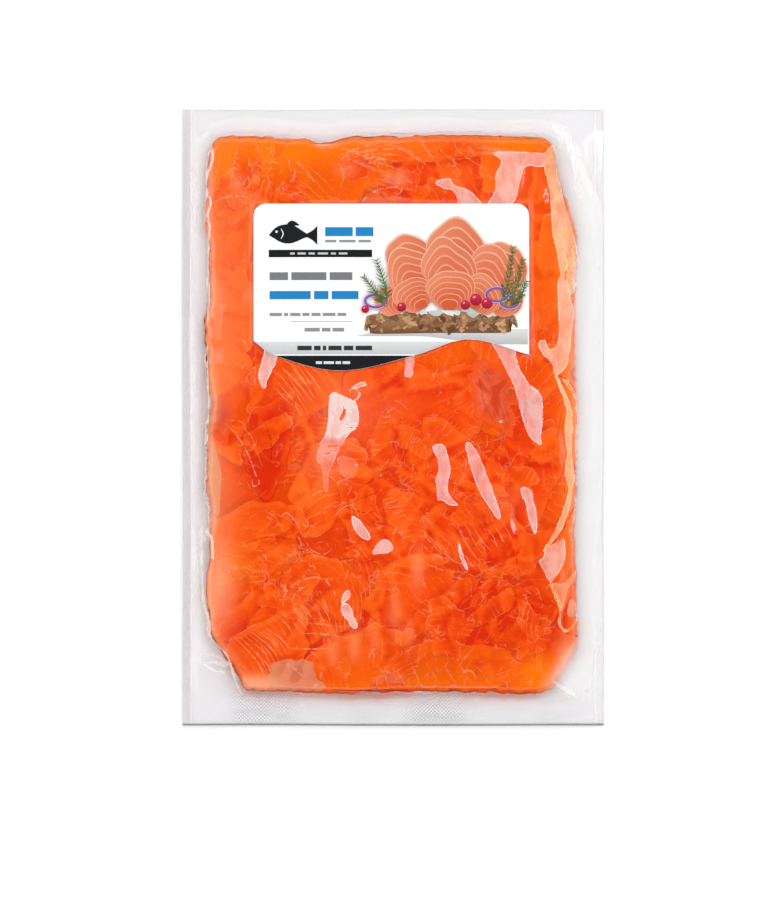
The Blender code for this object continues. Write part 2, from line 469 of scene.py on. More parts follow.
# How much of the heap's own relief is left once the bag is drawn tight, above and below
PRESSED = 0.17
PRESSED_UNDER = 0.12
RELIEF_REACH = 9 * MM
FLESH_DEPTH = 0.75 * MM
UNDER_DEPTH = 0.35 * MM
SCATTERED_ROWS = 7
SCATTERED_COLUMNS = 4
SCATTERED_SIZE = (66, 48)
SCRAP_LINES = (2.6, 20)

# x, y, length and width in mm, turn in degrees, tone, gold, then the lines across it: their
# direction in degrees, spacing and bend radius in mm, and strength
UPPER_SLICES = (
    (-73, 119, 52, 34, 82, 0.45, 0.7, 78, 4.4, 60, 0.4),
    (-31, 121, 66, 36, 8, 0.5, 0.4, -40, 4, 25, 0.5),
    (30, 117, 60, 34, -12, 0.42, 0, -50, 5, 40, 0.4),
    (62, 122, 44, 36, 20, 0.5, 0.2, 30, 4.5, 50, 0.2),
    (27, 132, 96, 13, 2, 0.75, 0.1, 3, 2.6, 400, 0.6),
    (76, 100, 62, 22, 86, 0.45, 0, 84, 3, 300, 0.2),
    (-80, 88, 56, 24, 84, 0.65, 0, 80, 4, 60, 0.3),
    (-80, 50, 52, 26, 97, 0.7, 0, 95, 4.2, 70, 0.3),
    (76, 60, 70, 24, 92, 0.5, 0.1, 88, 3.2, 300, 0.2),
    (-79, 12, 46, 28, 70, 0.62, 0.1, 60, 4, 40, 0.3),
    (6, 3, 78, 52, 12, 0.48, 0, 35, 6, 80, 0.2),
    (-50, 13, 46, 34, 38, 0.5, 0.1, -52, 3.6, 70, 1),
    (68, 8, 60, 34, 75, 0.42, 0.1, 60, 5, 60, 0.2),
    (-61, -14, 48, 26, 78, 0.12, 0, 82, 4.6, 90, 0.1),
    (-31, -33, 50, 34, 55, 0.55, 0.1, 20, 5, 40, 0.4),
    (24, -20, 50, 34, -35, 0.4, 0, 50, 5.5, 45, 0.3),
    (62, -28, 62, 36, 65, 0.38, 0, -70, 6, 80, 0.2),
    (2, -52, 60, 40, -18, 0.42, 0, 70, 5, 50, 0.3),
    (-66, -58, 50, 34, 15, 0.45, 0.15, -20, 4.4, 40, 0.3),
    (43, -57, 52, 38, -32, 0.4, 0, -58, 3.9, 45, 0.8),
    (70, -78, 52, 34, 80, 0.42, 0.1, 10, 5, 60, 0.2),
    (-40, -91, 56, 42, 18, 0.48, 0.1, -35, 3.5, 15, 0.8),
    (8, -88, 52, 36, 30, 0.45, 0.1, -25, 4.5, 35, 0.3),
    (50, -98, 56, 40, -10, 0.35, 0, 45, 4.8, 30, 0.3),
    (-62, -116, 50, 34, 36, 0.5, 0.1, -55, 3.2, 70, 1),
    (68, -118, 52, 34, 12, 0.4, 0.1, -30, 5, 60, 0.2),
    (-20, -119, 54, 30, 22, 0.52, 0.2, 72, 8, 60, 0.4),
    (30, -122, 60, 28, 4, 0.3, 0.3, 55, 6, 60, 0.3),
)
BELLY_STRIPS = (
    (-47, -126.5, 29, 19, 5, 0.45, 0, 10, 3.4, 60, 0.2),
    (-87, -30, 34, 7, 93, 0.7, 0.1, 90, 3, 120, 0.3),
)
BROWN_BANDS = (
    (49, 11, 36, 23, -66, 0.42, 0, -60, 2, 60, 0.5),
    (-84, 0, 24, 15, 84, 0.5, 0, 80, 2, 60, 0.3),
)
# Where the scraps lie: x, y and the reach each way in mm, how many, and their mean length
SCRAP_HEAPS = (
    (38, -112, 40, 24, 10, 22),
    (55, -85, 28, 22, 7, 20),
    (10, -60, 40, 26, 8, 18),
    (-60, -75, 24, 16, 8, 16),
    (-62, 104, 26, 22, 8, 14),
    (30, -10, 50, 26, 8, 18),
    (-40, -30, 40, 30, 7, 18),
    (-20, -112, 40, 14, 7, 15),
    (20, 120, 60, 12, 8, 16),
)
# Soft differences over the whole slab: x, y, reach each way in mm, then tone, gold and thinness
BLUSHES = (
    (6, 124, 80, 12, -0.1, 0, -0.05),
    (-66, 130, 32, 10, 0, 0.6, 0),
    (-48, 113, 30, 9, -0.22, 0.05, -0.1),
    (-30, 134, 50, 7, 0.1, 0.45, 0),
    (36, 132, 26, 11, -0.22, 0.1, -0.2),
    (62, 134, 18, 7, -0.05, 1, -0.3),
    (-84, 60, 12, 60, 0.2, 0, 0.22),
    (-84, 0, 12, 30, 0.15, 0.1, 0.12),
    (-70, 105, 10, 7, 0.3, 0, 0.15),
    (74, 70, 10, 44, 0.1, 0.15, 0),
    (-77, -73, 9, 12, 0, 0.6, 0),
    (-60, -12, 12, 20, -0.3, 0, 0),
    (20, -129, 80, 8, -0.3, 0.3, -0.15),
    (72, -125, 12, 9, 0.45, 0.8, -0.1),
    (87, -118, 6, 9, 0.4, 0, 1.2),
    (81, -130, 8, 6, 0.4, 0, 1.2),
    (-68, -131, 12, 5, 0.5, 0.5, 1.5),
    (87.5, -15, 4.5, 60, 0.4, 0.8, 0.15),
    (85, 62, 5, 30, 0.3, 0.6, 0.1),
    (50, -97, 38, 28, -0.32, 0, 0),
    (56, -4, 26, 26, -0.28, 0, 0),
    (-84, -3, 10, 13, -0.45, 0, -0.2),
    (-72, -8, 8, 14, -0.22, 0, -0.15),
    (-86, -38, 9, 16, 0.15, 0, 0.25),
    (-20, 5, 26, 12, 0.05, 0, 0.1),
    (-38, -40, 18, 16, 0.2, 0, 0),
    (30, 118, 16, 8, 0.4, 0, 0.1),
    (-85, -80, 7, 22, -0.1, 0.1, 0.8),
    (2, 116.5, 6, 3.5, 0.2, 0, 0.55),
    (-23, 120, 7, 4, 0.2, 0, 0.3),
    (-75, 114, 3, 4, 0.1, 0, 0.4),
    (-67, 117, 2, 4, 0.1, 0, 0.35),
    (-71, 59, 2, 4, 0.1, 0, 0.35),
    (-29, -113, 3, 8, 0.25, 0, 0.25),
    (-19, -110, 3, 9, 0.3, 0, 0.3),
    (-9, -107, 2.5, 7, 0.2, 0, 0.2),
    (12, -73, 3, 9, 0.2, 0, 0.35),
    (1, -96, 3, 10, 0.2, 0, 0.25),
    (8, -105, 2.5, 7, 0.15, 0, 0.2),
    (-24, 2, 9, 16, 0.1, 0, 0.22),
    (-34, -20, 8, 10, 0.1, 0, 0.25),
    (52, -40, 8, 5, 0, 0, 0.2),
)


def scattered_slices():
    """The layers below: slices laid in rough rows, each a little off its place."""
    for row in range(SCATTERED_ROWS):
        for column in range(SCATTERED_COLUMNS):
            x = 0.94 * (low[0] + (column + 0.5) / SCATTERED_COLUMNS * (high[0] - low[0])) / MM
            y = 0.92 * (low[1] + (row + 0.5) / SCATTERED_ROWS * (high[1] - low[1])) / MM
            dx, dy, tone, gold, strength = rng.uniform((-7, -7, 0.2, 0, 0.1), (7, 7, 0.7, 0.4, 0.6))
            turn, line_turn, bend = rng.uniform((-90, -90, 30), (90, 90, 90))
            yield (x + dx, y + dy, *SCATTERED_SIZE, turn, tone, gold, line_turn, 4.5, bend, strength)


def strewn(x, y, reach_x, reach_y, count):
    """Random places in a round patch."""
    for _ in range(count):
        away, way = math.sqrt(rng.uniform(0, 1)), rng.uniform(0, TURN)
        yield x + reach_x * away * math.cos(way), y + reach_y * away * math.sin(way)


def scraps():
    for *patch, length in SCRAP_HEAPS:
        for place in strewn(*patch):
            size = length * rng.uniform(0.5, 1.5)
            shape = (size, size * rng.uniform(0.3, 0.75), rng.uniform(-90, 90))
            tint = (rng.uniform(0.3, 0.58), rng.uniform(0, 0.15), rng.uniform(-90, 90))
            yield (*place, *shape, *tint, *SCRAP_LINES, rng.uniform(0, 0.9))


def ragged(turn, phases, sizes):
    """An uneven outline round a slice: how far it reaches at each turn, about 1."""
    reach = np.ones_like(turn)
    for wave, (phase, size) in enumerate(zip(phases, sizes), start=2):
        reach = reach + size * np.sin(wave * turn + phase)
    return reach


def rounded(u, v):
    """Moves the points of a square grid so that the square becomes a disc."""
    return u * np.sqrt(1 - v**2 / 2), v * np.sqrt(1 - u**2 / 2)


def lay_slice(blank, spec, heap, thick, torn, sag):
    """Lays one slice on the heap's height field; returns its mesh and the heap with it on top."""
    x0, y0, length, width, turn, tone, gold, line_turn, spacing, bend, strength = spec
    waves = np.arange(OUTLINE_WAVES) + 3
    phases = rng.uniform(0, TURN, OUTLINE_WAVES)
    sizes = torn * rng.uniform(0.3, 1.0, OUTLINE_WAVES) / waves
    cos, sin = math.cos(math.radians(turn)), math.sin(math.radians(turn))
    half_length, half_width = length / 2 * MM, width / 2 * MM
    beyond = rng.uniform(*PAST_EDGE) * MM
    dx, dy = GX - x0 * MM, GY - y0 * MM
    u, v = (dx * cos + dy * sin) / half_length, (dy * cos - dx * sin) / half_width
    share = np.hypot(u, v) / ragged(np.arctan2(v, u), phases, sizes)
    covers = (share < 1) & (edge_in(GX, GY) > -beyond)
    half_size = (half_length + half_width) / 2
    rounding = np.sqrt(np.clip((1 - share) * half_size / (thick * 0.9), 0, 1))
    carried = np.maximum(heap, blur(heap, sag))
    upper = carried + thick * (0.06 + 0.94 * rounding)
    mesh = blank.copy()
    u, v, layer = points_of(mesh).T
    u, v = rounded(u, v)
    way = np.arctan2(v, u)
    reach = ragged(way, phases, sizes)
    lx, ly = u * reach * half_length, v * reach * half_width
    x, y = kept_in(x0 * MM + lx * cos - ly * sin, y0 * MM + lx * sin + ly * cos, beyond)
    on_top = layer > 0
    set_points(mesh, x, y, np.where(on_top, read(upper, x, y), read(carried, x, y)))
    line_x, line_y = math.cos(math.radians(line_turn)), math.sin(math.radians(line_turn))
    ahead = (x / MM - x0) * line_x + (y / MM - y0) * line_y
    aside = (y / MM - y0) * line_x - (x / MM - x0) * line_y
    out = np.hypot(u, v)
    store(
        mesh,
        tone=tone + 0.12 * np.sin(way + phases[0]) * out,
        gold=gold,
        grain=(aside + ahead**2 / (2 * bend)) / spacing + phases[1],
        lines=strength * (0.55 + 0.45 * np.sin(2 * way + phases[2])),
        edge=np.where(on_top, (1 - out) * half_size / MM, 0),
    )
    return mesh, np.where(covers, upper, heap)


def joined(name, meshes):
    """One piece from several meshes."""
    bpy.ops.object.select_all(action="DESELECT")
    for mesh in meshes:
        piece = bpy.data.objects.new(name, mesh)
        bpy.context.scene.collection.objects.link(piece)
        piece.select_set(True)
        bpy.context.view_layer.objects.active = piece
    bpy.ops.object.join()
    piece = bpy.context.object
    piece.name = name
    piece.data.shade_smooth()
    return piece


slice_blank = grid("slice", *SLICE_GRID, thick=True)
scrap_blank = grid("scrap", *SCRAP_GRID, thick=True)
under_blank = grid("under slice", *UNDER_GRID, thick=True)

laid = {"lower_slices": [], "upper_slices": [], "belly_strips": [], "brown_bands": [], "scraps": []}
first_heap = heap = full_top - LOOSE_SLICES_THICK
for name, blank, specs, cut in (
    ("lower_slices", slice_blank, scattered_slices(), LOWER_CUT),
    ("upper_slices", slice_blank, UPPER_SLICES, UPPER_CUT),
    ("belly_strips", slice_blank, BELLY_STRIPS, BELLY_CUT),
    ("scraps", scrap_blank, scraps(), SCRAP_CUT),
    ("brown_bands", slice_blank, BROWN_BANDS, BROWN_CUT),
):
    for spec in specs:
        mesh, heap = lay_slice(blank.data, spec, heap, *cut)
        laid[name].append(mesh)

covered = (heap > first_heap) | (edge_in(GX, GY) > CORE_INSET)
filled = blur(covered.astype(float), 0.5 * MM)
level = blur(heap, RELIEF_REACH)
# Painted shade: how far each point lies down in a hollow between slices, which darkens the flesh there
hollows = np.clip((blur(heap, 2.2 * MM) - heap) / (0.55 * MM), -0.6, 1.0)
flesh_level = full_top - FLESH_DEPTH
shoulder = ease((full_top - SLAB_EDGE_HEIGHT) / (4.5 * MM))
squeeze = PRESSED * (0.35 + 0.65 * shoulder)
flesh = flesh_level + squeeze * (heap - level)

# The slab is paler at its edge, most of all along the left, where it is thin; on the rounded shoulder this
# paleness is also painted light against the shade there
blush = {key: spots(BLUSHES, which) for which, key in enumerate(("tone", "gold", "thin"))}
depth = edge_in(GX, GY) / MM
side_share = 0.85 - 0.7 * ease((-Y_MM - 100) / 25) - 0.65 * ease((X_MM - 50) / 30)
side_share = np.maximum(side_share - 0.7 * ease((Y_MM - 118) / 12), 0)
rim_reach = 4.2 + 2.2 * uneven(5)
blush["thin"] = blush["thin"] + side_share * np.exp(-((np.maximum(depth, 0) / rim_reach) ** 2))
blush["thin"] = blush["thin"] + 0.5 * ease((X_MM - 60) / 20) * ease(1 - depth / 1.2)
curl_field = np.clip(0.30 + 0.15 * ease((-Y_MM - 40) / 50) + 0.5 * uneven(14), 0, 1)


def dress(mesh, height, material):
    """Moves a laid mesh to its pressed height and adds what varies over the whole slab."""
    x, y, z = points_of(mesh).T
    set_points(mesh, x, y, height(x, y, z))
    for key in ("tone", "gold"):
        layer = mesh.attributes[key]
        values = np.empty(len(x), dtype=np.float32)
        layer.data.foreach_get("value", values)
        layer.data.foreach_set("value", (values + read(blush[key], x, y)).astype(np.float32))
    store(mesh, thin=read(blush["thin"], x, y), hollow=read(hollows, x, y), curls=read(curl_field, x, y))
    mesh.materials.append(material)


def pressed(x, y, z):
    """Height of a point of the heap once the bag has been drawn tight over it."""
    return read(flesh_level, x, y) + read(squeeze, x, y) * (z - read(level, x, y))


belly = flesh_material(
    "belly fat",
    deep=(0.66, 0.16, 0.08),
    middle=(0.75, 0.22, 0.11),
    light=(0.82, 0.28, 0.14),
    gold=(0.82, 0.24, 0.08),
    line=(0.98, 0.42, 0.24),
    peach=(0.90, 0.36, 0.20),
    edge_colour=(0.93, 0.12, 0.02),
    fade=(1.0, 2.4),
)
brown_muscle = flesh_material(
    "brown side muscle",
    deep=(0.66, 0.055, 0.012),
    middle=(0.78, 0.098, 0.034),
    light=(0.87, 0.165, 0.075),
    gold=(0.75, 0.12, 0.04),
    line=(0.86, 0.30, 0.17),
    peach=(0.86, 0.36, 0.20),
    edge_colour=(0.91, 0.09, 0.010),
    fade=(1.8, 8.5),
)
finishes = {"belly_strips": (belly, "belly"), "brown_bands": (brown_muscle, "belly")}
for name, meshes in laid.items():
    material, slot = finishes.get(name, (salmon, "salmon"))
    for mesh in meshes:
        dress(mesh, pressed, material)
    piece = joined(name, meshes)
    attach(piece, "root")
    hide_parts("pouch")


# ---- The slices underneath --------------------------------------------------------------------
# The same slices on the side that the pack lies on, pressed quite flat. They are laid like the
# upper ones, on the underside turned upside down, and then turned to face the table.

under_heap = -pouch_under - UNDER_SLICES_THICK
under_meshes = []
for spec in scattered_slices():
    mesh, under_heap = lay_slice(under_blank.data, spec, under_heap, *UNDER_CUT)
    under_meshes.append(mesh)
under_level = blur(under_heap, RELIEF_REACH)


def pressed_under(x, y, z):
    flat = read(pouch_under, x, y) + UNDER_DEPTH
    return flat - PRESSED_UNDER * (z - read(under_level, x, y))


for mesh in under_meshes:
    mesh.flip_normals()
    dress(mesh, pressed_under, salmon)
under_slices = joined("under_slices", under_meshes)
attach(under_slices, "root")
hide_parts("pouch")
for blank in (slice_blank, scrap_blank, under_blank):
    bpy.data.objects.remove(blank)


# ---- The lines of fat -------------------------------------------------------------------------
# Thin sheets of fat run between the flakes of the flesh. Where the knife cut them they show as fine
# pale lines, fanned, curled or broken; a few dark ones are painted shade in the gaps between slices.

LINE_GRID = (14, 2)
LINE_LIFT = 0.07 * MM
LINE_INSET = 0.8 * MM
LINE_END_WIDTH = 0.25
PALE_LINE = 0.42
MOST_PALE = 0.27
GAP_SHADE_LINE = 1.1
CURL_BENDS = 4

# Fans: the first line and the last, each as x and y in mm, then how many, their width and strength
FANS = (
    (((-57.5, 15.5), (-53.5, 10), (-47.5, 4.5)), ((-44, 26.5), (-39, 19), (-33.5, 11)), 8, 0.8, 0.55),
    (((-76.5, -107.5), (-67, -117), (-63, -125)), ((-62.5, -102), (-53.5, -108),
     (-49.5, -113)), 8, 0.8, 0.6),
    (((-26.4, 127.5), (-12.9, 132), (3.3, 134.5)), ((-24, 121), (-9, 124), (8, 119)), 5, 1.6, 0.35),
    (((13.3, 135.4), (16, 130), (22.8, 122.5)), ((29.5, 135.4), (31.5, 130), (45, 120.5)), 3, 1, 0.5),
    (((14.8, -55.3), (18.2, -60), (24.7, -62)), ((16, -70.8), (23.6, -74), (33, -75)), 3, 0.9, 0.6),
    (((30.4, -51.3), (36, -62), (42.5, -70.2)), ((42, -50), (47, -58), (50, -62)), 4, 0.8, 0.45),
    (((-36, -84), (-33, -90), (-31, -95)), ((-48, -93), (-45, -97), (-43, -101)), 4, 2, 0.35),
    (((-8, -120), (-4, -126), (-2, -131)), ((40, -119), (44, -125), (47, -130)), 7, 0.9, 0.4),
    (((2, -2), (-4, 2), (-8, -2)), ((8, 4), (2, 8), (-4, 6)), 3, 0.7, 0.3),
)
# Single lines: width and strength, then x and y along each; a strength below 0 is painted shade in a gap
LINES = (
    (0.9, 0.6, (-53.5, -91.8), (-52.2, -85), (-46.8, -80.3), (-38.6, -77.6), (-33.2, -79),
     (-29.2, -83.7), (-26.4, -90.4)),
    (0.7, 0.5, (-49.4, -90.3), (-47.4, -85.3), (-42, -81.7)),
    (1, 0.7, (-45.4, -104.9), (-33.2, -105.4), (-20, -107.8)),
    (1, 0.7, (-49.3, -112.2), (-40, -112.6), (-32.2, -112.2)),
    (0.8, 0.5, (-45, -99.5), (-34, -100.5), (-24, -102)),
    (0.9, 0.6, (-81.9, -2.7), (-76.5, -8), (-71.2, -16.3), (-68.3, -23.1), (-66.3, -29.2), (-65, -32),
     (-68, -33.5), (-68.5, -30)),
    (0.7, 0.4, (-74, -4), (-69, -9), (-66, -17), (-63.5, -24)),
    (0.8, 0.5, (-22.5, -11), (-17.1, -14.4), (-12.9, -15)),
    (0.7, 0.5, (-7.5, -1.5), (-0.7, 3.9), (2.6, 5.9)),
    (0.9, 0.6, (-29.2, -48.8), (-23.8, -43.4), (-18.3, -42.1)),
    (0.9, 0.6, (-42.6, -40.6), (-37.2, -36.7), (-33.2, -35.3)),
    (0.7, 0.5, (-23.8, -32), (-20.4, -34), (-22.5, -38)),
    (0.9, 0.6, (-76.5, 128.8), (-77.1, 124.5), (-78, 119.1), (-79, 112)),
    (0.9, 0.5, (-71.7, 129.9), (-69.7, 124.5), (-71.2, 119.1), (-69.7, 113.7), (-73, 108)),
    (0.8, 0.6, (-87.3, 104.4), (-81.9, 107), (-73.7, 107.6), (-68, 106)),
    (0.8, 0.4, (-64, 122), (-60, 114), (-63, 108)),
    (0.6, 0.4, (-51.5, 112), (-47.5, 117), (-48, 122)),
    (0.8, 0.5, (-27.5, 126), (-24, 118), (-26, 111)),
    (0.7, 0.5, (14.6, -55.3), (21, -61.5), (30, -70), (42, -72)),
    (1.1, 0.6, (-20, 96.5), (-12, 108), (-1, 112), (12, 110)),
    (0.8, 0.5, (-43, -58), (-40, -64), (-34, -66.5), (-30, -64)),
    (0.8, 0.5, (-61, -46), (-55, -49), (-52, -46), (-47, -51), (-44, -58)),
    (0.7, -0.45, (-1.6, 136.9), (12, 137.3), (25.5, 138.6), (43, 138.6)),
    (0.9, -0.3, (-28, -40), (-16, -46), (2, -44)),
    (0.9, -0.25, (-26, -44), (-12, -38), (6, -32)),
    (1.4, -0.25, (-74, -62), (-60, -58), (-44, -60)),
    (1.2, -0.35, (-62, -3), (-59, -14), (-60, -28)),
    (1, -0.15, (60, 12), (56, 3), (48, -4), (44, -2)),
    (1, -0.2, (41, 24), (44, 8), (50, -4)),
    (0.8, -0.4, (63, -62), (60, -68), (62, -78)),
    (1, -0.35, (-12, -96), (-2, -102), (12, -101)),
    (3, 0.3, (-25, 131), (-12, 127), (0, 124)),
    (2.4, 0.3, (-22, 126), (-10, 121), (-3, 119)),
    (2.6, 0.28, (-4, 133), (6, 130), (16, 123)),
    (2.2, 0.25, (-14, 112), (-4, 108), (10, 106)),
    (2, 0.3, (-52, 128), (-44, 122), (-38, 114)),
    (1.6, 0.3, (-60, 112), (-52, 108), (-44, 110)),
)
# Short curls strewn about: x, y and reach each way in mm, how many, their length, lean and strength
CURLS = (
    (42, -84, 34, 26, 16, 8, -30, 0.38),
    (30, -122, 46, 8, 9, 8, 55, 0.5),
    (-30, -70, 46, 22, 20, 7, 10, 0.45),
    (10, -20, 50, 26, 22, 7, 30, 0.4),
    (-68, 116, 18, 16, 18, 6, 50, 0.55),
    (-74, 10, 12, 30, 10, 8, 80, 0.45),
    (40, 124, 36, 10, 8, 7, -50, 0.4),
    (-20, 118, 40, 12, 14, 7, -40, 0.45),
    (62, 0, 18, 60, 14, 7, 60, 0.4),
    (-60, -80, 22, 14, 12, 7, 30, 0.45),
)


def smooth_path(points, steps, closed=False):
    """A smooth curve through the given points, each of them x, y and width."""
    points = np.array(points, float)
    before, after = (points[-1:], points[:2]) if closed else (points[:1], points[-1:])
    knots = np.concatenate((before, points, after))
    spans = len(knots) - 3
    t = np.linspace(0, spans, spans * steps + 1)
    i = np.minimum(t.astype(int), spans - 1)
    f = (t - i)[:, None]
    a, b, c, d = (knots[i + k] for k in range(4))
    return 0.5 * (2 * b + (c - a) * f + (2 * a - 5 * b + 4 * c - d) * f**2 + (3 * b - a - 3 * c + d) * f**3)


def along_path(points, u, v, shift=0.0, share=1.0):
    """Points of a band along a smooth path: u runs along it and v across it, both from -1 to 1."""
    path = smooth_path(points, 8)
    ahead = np.gradient(path[:, :2], axis=0)
    ahead /= np.maximum(np.hypot(ahead[:, 0], ahead[:, 1]), 1e-9)[:, None]
    at = (u + 1) / 2 * (len(path) - 1)
    x, y, width, ax, ay = (np.interp(at, np.arange(len(path)), column) for column in (*path.T, *ahead.T))
    side = width / 2 * (shift + share * v)
    return x - ay * side, y + ax * side


def fanned():
    for first, last, count, width, strength in FANS:
        for share in np.linspace(0, 1, count):
            jitter = rng.uniform(-0.5, 0.5, (len(first), 2))
            points = np.array(first) * (1 - share) + np.array(last) * share + jitter
            yield width * rng.uniform(0.8, 1.2), strength * rng.uniform(0.6, 1.1), *points


def curled():
    for *patch, length, lean, strength in CURLS:
        for place in strewn(*patch):
            heading = math.radians(lean + rng.uniform(-50, 50))
            swerve = rng.uniform(-0.7, 0.7)
            step = length * rng.uniform(0.5, 1.5) / CURL_BENDS
            points = [np.array(place)]
            for _ in range(CURL_BENDS):
                heading = heading + swerve + rng.uniform(-0.5, 0.5)
                points.append(points[-1] + step * np.array((math.cos(heading), math.sin(heading))))
            yield rng.uniform(0.5, 0.9), strength * rng.uniform(0.5, 1.2), *points


line_blank = grid("line", *LINE_GRID)
line_meshes = []
for width, strength, *points in (*fanned(), *LINES, *curled()):
    mesh = line_blank.data.copy()
    u, v, _ = points_of(mesh).T
    widths = np.full(len(points), width, float)
    widths[[0, -1]] = LINE_END_WIDTH * width
    x, y = along_path(np.column_stack((points, widths)), u, v)
    x, y = kept_in(x * MM, y * MM, -LINE_INSET)
    set_points(mesh, x, y, read(flesh, x, y) + LINE_LIFT)
    amount = min(PALE_LINE * strength, MOST_PALE) if strength > 0 else GAP_SHADE_LINE * -strength
    store(mesh, across=v, amount=amount, dark=float(strength < 0))
    line_meshes.append(mesh)
fat_and_gap_shade_lines = joined("fat_and_gap_shade_lines", line_meshes)
bpy.data.objects.remove(line_blank)

# Most see-through at their edges and in places along them, as thin fat is
look = Look("lines of fat and painted gap shade")
# Pale for fat; the dark lines are painted shade
fat_and_gap_shade_colour = look.tinted(look.stored("dark"), (1.0, 0.90, 0.55), (0.60, 0.018, 0.0))
to_side = look.maths("POWER", look.stored("across"), 2.0)
broken = look.between(look.speckle(420.0, 2.0), 0.36, 0.56)
fading = look.times(look.between(to_side, 0.95, 0.15), broken)
alpha = look.times(fading, look.stored("amount"))
fat_and_gap_shade_lines.data.materials.append(look.plain(fat_and_gap_shade_colour, 0.5, FLESH_SHINE, Alpha=alpha))
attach(fat_and_gap_shade_lines, "root")
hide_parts("pouch")


# ---- The bag's upper film ---------------------------------------------------------------------
# Clear film, drawn tight over the slices: it spans their hollows, stands off as dry pale pockets
# where air stayed under it, and lies as a flat margin round the slab, sealed at the rim.
# Its pale pockets, creases and glare, and its darker margin and fold lines, are painted light and shade.

FILM_GAP = 0.12 * MM
FILM_SHINE = 0.03
FILM_INSET = 0.25 * MM
FILM_WAVE = 0.2 * MM
FILM_GRID = (256, 374)
LOWER_FILM_GRID = (140, 200)
# The seals, in mm from the rim, and the dots a metre of the mesh pressed into the lower one
SEAL_WIDTH = 4.0
BOTTOM_SEAL = (4.0, 17.0)
MESH_DOTS = 800.0
# Lumps a metre of the dry parts' ragged edges, mist and broken rims, and of the film's ripples
DRY_RAGGED = 700.0
DRY_MIST = 150.0
DRY_PATCHES = 110.0
RIPPLES = 300.0
FILM_ROUGHNESS = 0.08
FILM_BUMP = {"Strength": 0.8, "Distance": 0.3 * MM}
# The share of light that the milky parts let through
MILK_CLEAR = 0.30
# How far past a shape's outline its distances are worked out, in mm, and what stands for far away
NEAR = 5.0
FAR = -9.0
# How often and how widely the film is drawn flat over hollows, and over the label's bed, and how
# steeply it falls away beside the label
PULLS = 14
SPAN = 1.1 * MM
BED_PULLS = 5
BED_SPAN = 5 * MM
BED_FALL = 0.30
# How far the film stands off over pockets, creases and puckers
POCKET_RISE = 0.30 * MM
CREASE_RISE = 0.35 * MM
PUCKER_RISE = 0.28 * MM
# Wave length and size of the puckers round the slab, in mm
PUCKERS = ((9.0, 0.5), (4.3, 0.35), (2.7, 0.25))
